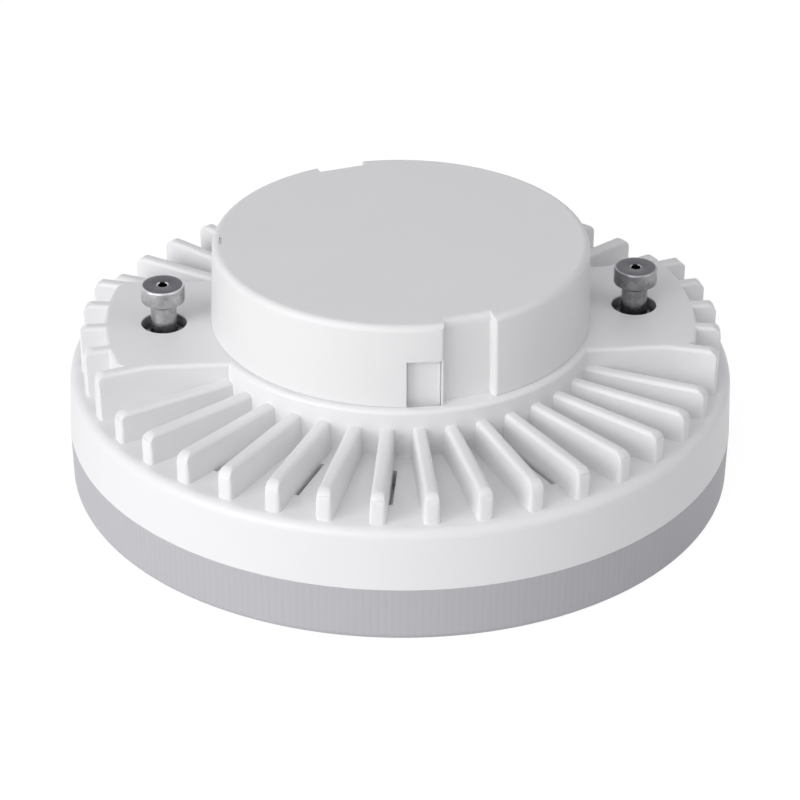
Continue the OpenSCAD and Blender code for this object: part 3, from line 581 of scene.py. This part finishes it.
@dataclass(frozen=True)
class Rolled(Finish):
    """Rolled sheet metal with fine parallel lines along X."""

    line: float = 0.12 * MM
    line_length: float = 7.2 * MM
    line_depth: float = 0.004 * MM
    line_share: float = 0.6
    line_gloss: float = 0.2
    haze_size: float = 6 * MM
    haze_gloss: float = 0.1
    dark: float = 0.86

    def surface(self, graph: Graph) -> Links:
        """Rolling lines in colour, gloss and relief.

        Args:
            graph: the material's graph.

        Returns:
            Links for colour, roughness and normal.
        """
        lines = graph.noise((self.line_length, self.line, self.line), detail=3.0)
        haze = graph.noise(self.haze_size)
        light = (lines * self.line_share + haze * (1 - self.line_share)).clamped()
        tint = graph.blend(light, shade(self.colour, self.dark), self.colour)
        rough = (lines - 0.5) * self.line_gloss + (haze - 0.5) * self.haze_gloss
        rough = rough + self.roughness
        return varied(tint, rough, graph.bump(lines, self.line_depth))


@dataclass(frozen=True)
class Board(Finish):
    """A circuit board: copper areas under lacquer, with gaps between them."""

    copper: Colour = (0.2, 0.4, 0.2)
    cell: float = 5 * MM
    gap: float = 0.05
    contrast: float = 30.0
    haze_size: float = 1.5 * MM
    haze_gloss: float = 0.15
    haze_base: float = 0.07
    relief: float = 0.03 * MM
    relief_share: float = 0.8

    def surface(self, graph: Graph) -> Links:
        """Lacquered copper areas with narrow gaps.

        Args:
            graph: the material's graph.

        Returns:
            Links for colour, roughness and normal.
        """
        cells = graph.node("ShaderNodeMapping", inputs={
            "Vector": graph.place(), "Scale": [1 / self.cell] * 3})
        edge = graph.node("ShaderNodeTexVoronoi", {"feature": "DISTANCE_TO_EDGE"},
                          {"Vector": cells, "Scale": 1.0})
        copper = ((edge - self.gap) * self.contrast).clamped()
        haze = graph.noise(self.haze_size)
        tint = graph.blend(copper, self.colour, self.copper)
        rough = haze * self.haze_gloss + (self.roughness - self.haze_base)
        height = copper * self.relief_share + haze * (1 - self.relief_share)
        return varied(tint, rough, graph.bump(height, self.relief))


@dataclass(frozen=True)
class Wound(Finish):
    """Wrapped or sleeved goods: overlapping turns round the piece, with a gloss."""

    turn: float = 1.1 * MM
    turn_share: float = 0.5
    dark: float = 0.8
    patch_size: float = 1.2 * MM
    patch_gloss: float = 0.15
    patch_base: float = 0.07
    relief: float = 0.02 * MM
    relief_share: float = 0.7

    def surface(self, graph: Graph) -> Links:
        """Turns of tape or sleeve as faint steps along the piece.

        Args:
            graph: the material's graph.

        Returns:
            Links for colour, roughness and normal.
        """
        _, y, _ = graph.parts()
        step = (y / self.turn).fraction()
        patch = graph.noise(self.patch_size, detail=3.0)
        light = (step * self.turn_share + patch * (1 - self.turn_share)).clamped()
        tint = graph.blend(light, shade(self.colour, self.dark), self.colour)
        rough = patch * self.patch_gloss + (self.roughness - self.patch_base)
        height = step * self.relief_share + patch * (1 - self.relief_share)
        return varied(tint, rough, graph.bump(height, self.relief))


@dataclass(frozen=True)
class BareEnd(Wound):
    """A sleeved lead whose end is bare above a height."""

    bare_height: float = 15.3 * MM
    conductor: Colour = (0.35, 0.34, 0.33)

    def surface(self, graph: Graph) -> Links:
        """The sleeve, with a tinned conductor above it.

        Args:
            graph: the material's graph.

        Returns:
            Links for colour, metal, roughness and normal.
        """
        links = super().surface(graph)
        _, _, z = graph.parts()
        bare = z.above(self.bare_height)
        links["Base Color"] = graph.blend(bare, links["Base Color"], self.conductor)
        links["Metallic"] = bare
        return links


# The finishes that show from outside

WHITE_HOUSING = Recessed("housing_white", (0.82, 0.82, 0.825), 0.42, cloud=0.012,
                         grain=0.12 * MM, depth=0.003 * MM, flow=0.01 * MM)
WHITE_CAP = Moulded("cap_white", (0.80, 0.80, 0.80), 0.5, cloud=0.015,
                    grain=0.16 * MM, depth=0.006 * MM, flow=0.01 * MM)
OPAL_WHITE = Opal("diffuser_opal", (0.475, 0.477, 0.50), 0.5, specular=0.3, subsurface=0.1)
# The same plated metal twice: the left pin's copy is lighter and the right's darker, painted light
# and shade
PIN_LIT = Pin("pin_plated_lit", (0.50, 0.50, 0.51), 0.2, 1.0, stain=0.3, shine=0.75)
PIN_SHADED = Pin("pin_plated_shaded", (0.30, 0.30, 0.31), 0.2, 1.0, stain=0.3, shine=0.4)


# Modelling


def arc(centre: Point, radius: float, start: float, stop: float, steps: int) -> list[Point]:
    """Points along an arc.

    Args:
        centre: the arc's centre.
        radius: its radius.
        start: the first angle in degrees.
        stop: the last angle in degrees.
        steps: how many chords it has.

    Returns:
        One point more than there are chords.
    """
    angles = [math.radians(start + (stop - start) * i / steps) for i in range(steps + 1)]
    return [(centre[0] + radius * math.cos(angle), centre[1] + radius * math.sin(angle))
            for angle in angles]


class Element(Enum):
    """What is picked from a mesh."""

    EDGE = "EDGE"
    FACE = "FACE"


class Model:
    """A mesh object that is shaped with operators. Its sizes are given in millimetres."""

    def __init__(self, name: str) -> None:
        """Starts from the active object, which the last operator added.

        Args:
            name: the piece's name.
        """
        self.object = bpy.context.object
        self.object.name = name
        self.object.data.name = name

    def pick(self) -> None:
        """Makes this the only selected object and the active one."""
        bpy.ops.object.select_all(action="DESELECT")
        self.object.select_set(True)
        bpy.context.view_layer.objects.active = self.object

    def edit(self) -> None:
        """Goes into edit mode with every vertex selected."""
        self.pick()
        bpy.ops.object.mode_set(mode="EDIT")
        bpy.ops.mesh.select_mode(type="VERT")
        bpy.ops.mesh.select_all(action="SELECT")

    def choose(self, kind: Element, chosen: Sequence[int]) -> None:
        """Goes into edit mode with only some edges or faces selected.

        Args:
            kind: edges or faces.
            chosen: their numbers.
        """
        self.edit()
        bpy.ops.mesh.select_mode(type=kind.value)
        bpy.ops.mesh.select_all(action="DESELECT")
        self.done()
        mesh = self.object.data
        elements = mesh.edges if kind is Element.EDGE else mesh.polygons
        for number in chosen:
            elements[number].select = True
        bpy.ops.object.mode_set(mode="EDIT")

    def done(self) -> None:
        """Goes back to object mode."""
        bpy.ops.object.mode_set(mode="OBJECT")

    def weld(self) -> None:
        """Merges points that coincide and turns all faces outwards."""
        self.edit()
        bpy.ops.mesh.remove_doubles(threshold=WELD_GAP * MM)
        bpy.ops.mesh.normals_make_consistent(inside=False)
        self.done()

    @classmethod
    def copied(cls, name: str, node: str) -> "Model":
        """A welded copy of a CAD node, without the custom normals that it came with.

        Args:
            name: the piece's name.
            node: the node's name.

        Returns:
            The model.
        """
        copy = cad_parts[node].copy()
        copy.data = copy.data.copy()
        copy.parent = None
        bpy.context.scene.collection.objects.link(copy)
        bpy.context.view_layer.objects.active = copy
        model = cls(name)
        model.pick()
        bpy.ops.mesh.customdata_custom_splitnormals_clear()
        model.weld()
        return model

    def dissolve(self, foot: float, top: float) -> None:
        """Joins coplanar faces that lie between two heights.

        Args:
            foot: the lower height.
            top: the upper height.
        """
        mesh = self.object.data
        between = [face.index for face in mesh.polygons
                   if all(foot < mesh.vertices[v].co.z / MM < top for v in face.vertices)]
        self.choose(Element.FACE, between)
        bpy.ops.mesh.dissolve_limited(angle_limit=math.radians(FLAT_ANGLE))
        self.done()

    def ridges(self, sharp: float, wanted: Callable[[Vector], bool]) -> list[int]:
        """Finds outward edges.

        Args:
            sharp: the least angle between the two faces in degrees.
            wanted: whether an edge's middle, in millimetres, is in the region.

        Returns:
            The edges' numbers.
        """
        mesh = self.object.data
        faces: dict[tuple[int, int], list[bpy.types.MeshPolygon]] = {}
        for face in mesh.polygons:
            for key in face.edge_keys:
                faces.setdefault(key, []).append(face)
        chosen = []
        for edge in mesh.edges:
            beside = faces.get(edge.key, [])
            start, end = (mesh.vertices[v].co / MM for v in edge.vertices)
            if len(beside) != 2 or not wanted((start + end) / 2):
                continue
            one, other = beside
            bent = one.normal.angle(other.normal, 0.0) >= math.radians(sharp)
            if bent and (other.center - one.center).dot(one.normal) < 0:
                chosen.append(edge.index)
        return chosen

    def bevel(self, chosen: Sequence[int], width: float, steps: int) -> None:
        """Rounds some edges.

        Args:
            chosen: the edges' numbers.
            width: how far the rounding reaches to each side.
            steps: how many faces it has across.
        """
        self.choose(Element.EDGE, chosen)
        bpy.ops.mesh.bevel(offset=width * MM, segments=steps, profile=0.5,
                           clamp_overlap=False, affect="EDGES")
        self.done()

    def join(self, others: Sequence["Model"]) -> None:
        """Makes other models part of this one.

        Args:
            others: the other models.
        """
        self.pick()
        for other in others:
            other.object.select_set(True)
        bpy.ops.object.join()

    def smooth(self, angle: float) -> None:
        """Shades the model smooth up to an angle, weighted by the faces' areas.

        Args:
            angle: edges sharper than this many degrees stay sharp.
        """
        self.pick()
        bpy.ops.object.shade_smooth_by_angle(angle=math.radians(angle))
        modifier = self.object.modifiers.new("weighted_normal", "WEIGHTED_NORMAL")
        modifier.keep_sharp = True
        bpy.ops.object.modifier_apply(modifier=modifier.name)

    def finish(self, finish: Finish, slot: str, node: str) -> str:
        """Gives the model its material, and lets it stand for a CAD node.

        Args:
            finish: the finish.
            slot: the record's material slot; not used.
            node: the node that it replaces.

        Returns:
            The piece's name.
        """
        self.object.data.materials.clear()
        self.object.data.materials.append(finish.make())
        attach(self.object, "root")
        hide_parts(node)
        return self.object.name


def turned(name: str, profile: Sequence[Point], steps: int, at: float = 0.0) -> Model:
    """Spins a profile round an upright axis.

    Args:
        name: the model's name.
        profile: its points as radius and height.
        steps: how many faces go round.
        at: where the axis stands on X.

    Returns:
        The model.
    """
    bpy.ops.mesh.primitive_plane_add(size=MM)
    model = Model(name)
    model.edit()
    bpy.ops.mesh.merge(type="CENTER")
    points = [Vector((radius, 0, height)) * MM for radius, height in profile]
    bpy.ops.transform.translate(value=points[0])
    for last, point in zip(points, points[1:]):
        bpy.ops.mesh.extrude_region_move(TRANSFORM_OT_translate={"value": point - last})
    bpy.ops.mesh.select_all(action="SELECT")
    bpy.ops.mesh.spin(steps=steps, angle=math.tau, center=(0, 0, 0), axis=(0, 0, 1))
    bpy.ops.mesh.select_all(action="SELECT")
    bpy.ops.transform.translate(value=(at * MM, 0, 0))
    model.done()
    model.weld()
    return model


def upright_plate(name: str, size: Triple, at: Triple, turn: float) -> Model:
    """An upright plate at a radius, turned round the lamp's axis.

    Args:
        name: the model's name.
        size: its size along the radius, across it and upwards.
        at: the middle of its inner face: radius, offset across, and foot.
        turn: its direction in degrees.

    Returns:
        The model.
    """
    bpy.ops.mesh.primitive_cube_add(size=MM)
    model = Model(name)
    model.edit()
    bpy.ops.transform.resize(value=size)
    middle = Vector((at[0] + size[0] / 2, at[1], at[2] + size[2] / 2))
    bpy.ops.transform.translate(value=middle * MM)
    # Without a window this operator turns the other way
    bpy.ops.transform.rotate(value=-math.radians(turn), orient_axis="Z",
                             center_override=(0, 0, 0))
    model.done()
    return model


# The lamp


@dataclass
class Housing:
    """The finned white housing with its snap ring."""

    node: str = "housing"
    ring: str = "snap_ring"
    slot: str = "housing"
    fin_foot: float = LAYOUT.floor + 0.3
    fin_top: float = 16.8
    fin_crown: float = 1.0
    fin_radius: float = 22.6
    fin_sharp: float = 40.0
    fillet: float = 0.16
    fillet_steps: int = 2
    margin: float = 0.1
    shade_angle: float = 40.0
    ring_shade_angle: float = 35.0
    plate: Triple = (0.6, 4.2, 6.3)
    plate_at: Triple = (19.4, 0.0, 18.1)
    plate_turns: tuple[float, float] = (-88.35, 91.65)

    def on_fin(self, at: Vector) -> bool:
        """Whether a point lies on the outer part of a fin."""
        return (self.fin_foot < at.z < self.fin_top + self.margin
                and math.hypot(at.x, at.y) > self.fin_radius)

    def build(self) -> list[str]:
        """Rounds the fins' corners on a copy of the CAD moulding, and backs the ring's keys.

        Returns:
            The names of the pieces.
        """
        housing = Model.copied("moulded_housing", self.node)
        housing.dissolve(self.fin_top - self.fin_crown, self.fin_top + self.margin)
        ridges = housing.ridges(self.fin_sharp, self.on_fin)
        log.info("fin edges rounded: %d", len(ridges))
        housing.bevel(ridges, self.fillet, self.fillet_steps)
        housing.smooth(self.shade_angle)
        ring = Model.copied("keyed_ring", self.ring)
        ring.join([upright_plate("key_plate", self.plate, self.plate_at, turn)
                   for turn in self.plate_turns])
        ring.smooth(self.ring_shade_angle)
        return [housing.finish(WHITE_HOUSING, self.slot, self.node),
                ring.finish(WHITE_HOUSING, self.slot, self.ring)]


@dataclass
class Diffuser:
    """The opal cup below the housing."""

    node: str = "diffuser"
    slot: str = "diffuser"
    radius: float = 37.5
    face: float = 1.6
    face_rings: Triple = (12.0, 24.0, 33.0)
    wall: float = 2.9
    foot_radius: float = 37.39
    foot_round: float = 0.9
    seam_bevel: float = 0.16
    seam_draft: float = 0.02
    seam_gap: float = 0.05
    lip: float = 1.2
    lip_radius: float = 35.75
    lip_top: float = 9.4
    lip_chamfer: float = 0.2
    steps: int = 192
    shade_angle: float = 40.0

    def profile(self) -> list[Point]:
        """Half the cup's section, from the middle of its flat face round to the inside.

        Returns:
            Points as radius and height.
        """
        seam, bevel = LAYOUT.seam, self.seam_bevel
        foot = (self.foot_radius - self.foot_round, self.foot_round)
        return [(0, 0), *((ring, 0) for ring in self.face_rings),
                *arc(foot, self.foot_round, -90, 0, 8),
                (self.radius - self.seam_draft, seam - bevel - self.seam_gap),
                *arc((self.radius - bevel, seam - bevel), bevel, 0, 80, 3),
                (self.lip_radius, seam),
                (self.lip_radius, self.lip_top - self.lip_chamfer),
                (self.lip_radius - self.lip_chamfer, self.lip_top),
                (self.lip_radius - self.lip, self.lip_top),
                (self.radius - self.wall, self.face), (0, self.face)]

    def build(self) -> list[str]:
        """Turns the cup, with a rounded foot and a small bevel at the seam.

        Returns:
            The name of the piece.
        """
        cup = turned("opal_cup", self.profile(), self.steps)
        cup.smooth(self.shade_angle)
        return [cup.finish(OPAL_WHITE, self.slot, self.node)]


@dataclass
class BossCap:
    """The keyed cap over the driver."""

    node: str = "boss_cap"
    slot: str = "cap"
    wall_foot: float = LAYOUT.platform + 0.1
    wall_top: float = LAYOUT.top + 0.1
    window_foot: float = LAYOUT.platform + 0.2
    window_top: float = LAYOUT.top - 2.0
    window_radius: float = 20.3
    window_sharp: float = 50.0
    fillet: float = 0.08
    fillet_steps: int = 2
    shade_angle: float = 38.0

    def at_window(self, at: Vector) -> bool:
        """Whether a point lies on the outer edge of a window."""
        return self.window_foot < at.z < self.window_top and at.xy.length > self.window_radius

    def build(self) -> list[str]:
        """Softens the edges of the windows on a copy of the CAD cap.

        Returns:
            The name of the piece.
        """
        cap = Model.copied("keyed_cap", self.node)
        cap.dissolve(self.wall_foot, self.wall_top)
        ridges = cap.ridges(self.window_sharp, self.at_window)
        log.info("window edges softened: %d", len(ridges))
        cap.bevel(ridges, self.fillet, self.fillet_steps)
        cap.smooth(self.shade_angle)
        return [cap.finish(WHITE_CAP, self.slot, self.node)]


@dataclass
class ContactPins:
    """The two turned contact pins."""

    slot: str = "pin_metal"
    head: float = 2.425
    head_height: float = 1.85
    head_round: float = 0.16
    head_foot: Triple = (0.1, 0.03, 0.12)
    cone: float = 0.5
    cone_top: float = 0.07
    neck: float = 1.45
    neck_round: float = 0.15
    bore: float = 0.55
    sink: float = 0.62
    sink_round: float = 0.06
    collar: float = 2.35
    collar_foot: float = 17.3
    collar_top: float = 17.9
    collar_round: float = 0.15
    collar_root: float = 0.2
    foot: float = 15.25
    rivet: float = 2.05
    rivet_height: float = 0.45
    rivet_round: float = 0.2
    steps: int = 64
    shade_angle: float = 30.0

    def lower(self) -> list[Point]:
        """Half a pin's section from the lower end of the bore to the collar's edge.

        Returns:
            Points as radius and height.
        """
        rivet, shoulder = self.rivet - self.rivet_round, self.foot + self.rivet_height
        edge = self.collar_round
        return [(self.bore, self.foot), (rivet, self.foot),
                *arc((rivet, self.foot + self.rivet_round), self.rivet_round, -90, 0, 3)[1:],
                (self.rivet, shoulder), (self.neck, shoulder),
                (self.neck, self.collar_foot), (self.collar, self.collar_foot),
                *arc((self.collar - edge, self.collar_top - edge), edge, 0, 90, 3)]

    def upper(self) -> list[Point]:
        """Half a pin's section from the neck's root to the upper end of the bore.

        Returns:
            Points as radius and height.
        """
        top = LAYOUT.pin_top
        under = top - self.head_height
        root, waist, edge, lip = (self.collar_root, self.neck_round, self.head_round,
                                  self.sink_round)
        rise, step, inset = self.head_foot
        return [*arc((self.neck + root, self.collar_top + root), root, 270, 180, 4),
                *arc((self.neck + waist, under - self.cone - waist), waist, 180, 120, 3),
                (self.head - inset, under - self.cone_top), (self.head - step, under),
                (self.head, under + rise),
                *arc((self.head - edge, top - edge), edge, 0, 90, 5),
                *arc((self.sink + lip, top - lip), lip, 90, 160, 2),
                (self.bore, top - (self.sink - self.bore))]

    def build(self) -> list[str]:
        """Turns one pin for each side.

        Returns:
            The names of the pieces.
        """
        profile = [*self.lower(), *self.upper(), (self.bore, self.foot)]
        names = []
        for side, at, finish in (("left", -LAYOUT.pin_axis, PIN_LIT),
                                 ("right", LAYOUT.pin_axis, PIN_SHADED)):
            pin = turned(f"turned_pin_{side}", profile, self.steps, at)
            pin.smooth(self.shade_angle)
            names.append(pin.finish(finish, self.slot, f"contact_pin_{side}"))
        return names


@dataclass
class Works:
    """What is sealed inside: heat spreader, boards, LEDs, driver components and leads."""

    outer_leds: int = 12
    inner_leds: int = 6
    screws: int = 3

    def finishes(self) -> dict[str, Finish]:
        """The finish of every inner node.

        Returns:
            Finishes by the node's name.
        """
        plated = Turned("screw_plated", (0.55, 0.55, 0.56), 0.35, 1.0, stain=0.2)
        washer = Turned("washer_plated", (0.60, 0.58, 0.52), 0.35, 1.0, stain=0.2)
        led = Moulded("led_phosphor", (0.90, 0.72, 0.18), 0.25, cloud=0.05,
                      grain=0.2 * MM, depth=0.01 * MM)
        sleeve = Wound("capacitor_sleeve", (0.05, 0.055, 0.07), 0.25, coat=0.3, turn=6 * MM)
        black = Moulded("moulded_black", (0.03, 0.03, 0.03), 0.5, cloud=0.1)
        lead = BareEnd("lead_white", (0.72, 0.71, 0.68), 0.35, coat=0.2, turn=2.5 * MM)
        table: dict[str, Finish] = {
            "pin_washer_left": washer,
            "pin_washer_right": washer,
            "heat_spreader": Rolled("spreader_sheet", (0.72, 0.73, 0.75), 0.4, 1.0),
            "led_board": Board("led_board_white", (0.62, 0.62, 0.60), 0.35, coat=0.2,
                               copper=(0.86, 0.86, 0.84), cell=11 * MM),
            "insulating_sheet": Moulded("sheet_dark", (0.10, 0.13, 0.11), 0.6, cloud=0.12),
            "driver_board": Board("driver_board_green", (0.02, 0.10, 0.04), 0.3, coat=0.4,
                                  copper=(0.05, 0.24, 0.09), cell=4 * MM),
            "input_capacitor": sleeve,
            "output_capacitor": sleeve,
            "transformer_core": Moulded("core_ferrite", (0.05, 0.05, 0.052), 0.6, cloud=0.15,
                                        grain=0.15 * MM, depth=0.02 * MM),
            "transformer_bobbin": black,
            "transformer_winding": Wound("winding_tape", (0.72, 0.50, 0.05), 0.3, coat=0.3),
            "film_capacitor": Moulded("film_dipped", (0.62, 0.38, 0.05), 0.22, coat=0.5,
                                      cloud=0.06, flow=0.03 * MM),
            "fuse_resistor": Moulded("resistor_lacquer", (0.12, 0.28, 0.14), 0.55, cloud=0.1,
                                     flow=0.02 * MM),
            "rectifier": black,
            "driver_chip": black,
            "pin_lead_left": lead,
            "pin_lead_right": lead,
            "led_lead_plus": Wound("lead_red", (0.50, 0.03, 0.02), 0.35, coat=0.2),
            "led_lead_minus": Wound("lead_black", (0.02, 0.02, 0.02), 0.35, coat=0.2),
        }
        table.update({f"led_outer_{i + 1}": led for i in range(self.outer_leds)})
        table.update({f"led_inner_{i + 1}": led for i in range(self.inner_leds)})
        table.update({f"board_screw_{i + 1}": plated for i in range(self.screws)})
        return table

    def build(self) -> list[str]:
        """Gives every inner node its finish.

        Returns:
            The names of the nodes.
        """
        finishes = self.finishes()
        for node, finish in finishes.items():
            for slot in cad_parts[node].material_slots:
                slot.material = finish.make()
        return list(finishes)


# Studio


@dataclass(frozen=True)
class SoftLight:
    """A square soft light that points at the origin."""

    name: str
    turn: float
    rise: float
    size: float
    distance: float
    energy: float

    def add(self) -> None:
        """Adds the light, turned from the front by turn and raised by rise, in degrees."""
        turn, rise = math.radians(self.turn), math.radians(self.rise)
        at = Vector((math.sin(turn) * math.cos(rise), -math.cos(turn) * math.cos(rise),
                     math.sin(rise))) * self.distance
        bpy.ops.object.light_add(type="AREA", location=at)
        light = bpy.context.object
        light.name = self.name
        light.data.shape = "SQUARE"
        light.data.size = self.size
        light.data.energy = self.energy
        light.rotation_mode = "QUATERNION"
        light.rotation_quaternion = (-at).to_track_quat("-Z", "Y")


@dataclass
class Studio:
    """Pale floor, soft light and the camera of the photograph."""

    floor_size: float = 3.0
    floor_rise: float = 0.02 * MM
    floor_grey: float = 0.86
    floor_share: float = 0.85
    floor_glow: float = 1.1
    world_level: float = 0.25
    world_tint: Colour = (0.98, 0.97, 1.03)
    lights: tuple[SoftLight, ...] = (
        SoftLight("key", -60.0, 18.0, 0.5, 0.9, 4.0),
        SoftLight("fill", -30.0, 35.0, 0.5, 0.9, 2.2),
        SoftLight("side", 60.0, 35.0, 0.5, 0.9, 1.25),
        SoftLight("top", 0.0, 88.0, 0.7, 0.9, 1.05),
    )
    camera_at: Triple = (-27.1 * MM, -285.2 * MM, 171.57 * MM)
    camera_lens: float = 130.0
    camera_sensor: float = 36.0
    camera_pitch: float = 1.132
    camera_roll: float = 0.351
    camera_range: tuple[float, float] = (0.01, 10.0)

    def floor(self) -> None:
        """Adds the floor, which is white to the camera and keeps the lamp's shadow."""
        bpy.ops.mesh.primitive_plane_add(size=self.floor_size, location=(0, 0, self.floor_rise))
        floor = bpy.context.object
        floor.name = "floor"
        material = bpy.data.materials.new("floor_pale")
        material.use_nodes = True
        graph = Graph(material.node_tree)
        plain = graph.node("ShaderNodeBsdfDiffuse", inputs={
            "Color": (*grey(self.floor_grey), 1.0)})
        white = graph.node("ShaderNodeEmission", inputs={
            "Color": (*grey(1.0), 1.0), "Strength": self.floor_glow})
        share = graph.background_rays() * self.floor_share
        graph.finish(graph.node("ShaderNodeMixShader", inputs={0: share, 1: plain, 2: white}))
        floor.data.materials.append(material)

    def world(self) -> None:
        """Lights the scene evenly, with a white background for the camera."""
        world = bpy.data.worlds.new("studio")
        world.use_nodes = True
        bpy.context.scene.world = world
        graph = Graph(world.node_tree)
        level = graph.background_rays() * (1.0 - self.world_level) + self.world_level
        light = graph.node("ShaderNodeBackground", inputs={
            "Color": (*self.world_tint, 1.0), "Strength": level})
        graph.finish(light, "ShaderNodeOutputWorld")

    def camera(self) -> None:
        """Adds the camera at the photograph's viewing angle."""
        bpy.ops.object.camera_add(location=self.camera_at)
        camera = bpy.context.object
        camera.name = "camera"
        camera.data.lens = self.camera_lens
        camera.data.sensor_width = self.camera_sensor
        camera.data.clip_start, camera.data.clip_end = self.camera_range
        aim = (-Vector(self.camera_at)).to_track_quat("-Z", "Y")
        pitch = Quaternion((1, 0, 0), math.radians(self.camera_pitch))
        roll = Quaternion((0, 0, 1), math.radians(self.camera_roll))
        camera.rotation_mode = "QUATERNION"
        camera.rotation_quaternion = aim @ pitch @ roll
        bpy.context.scene.camera = camera

    def build(self) -> None:
        """Sets up the whole studio."""
        self.floor()
        self.world()
        for light in self.lights:
            light.add()
        self.camera()
        bpy.context.scene.view_settings.view_transform = "Standard"


def main() -> None:
    """Builds the lamp and the studio, and logs each piece."""
    logging.basicConfig(level=logging.INFO)
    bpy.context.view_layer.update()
    for assembly in (Housing(), Diffuser(), BossCap(), ContactPins(), Works()):
        for piece in assembly.build():
            log.info("%s: %s", type(assembly).__name__, piece)
    Studio().build()
    log.info("studio is set up")


if __name__ == "__main__":
    main()
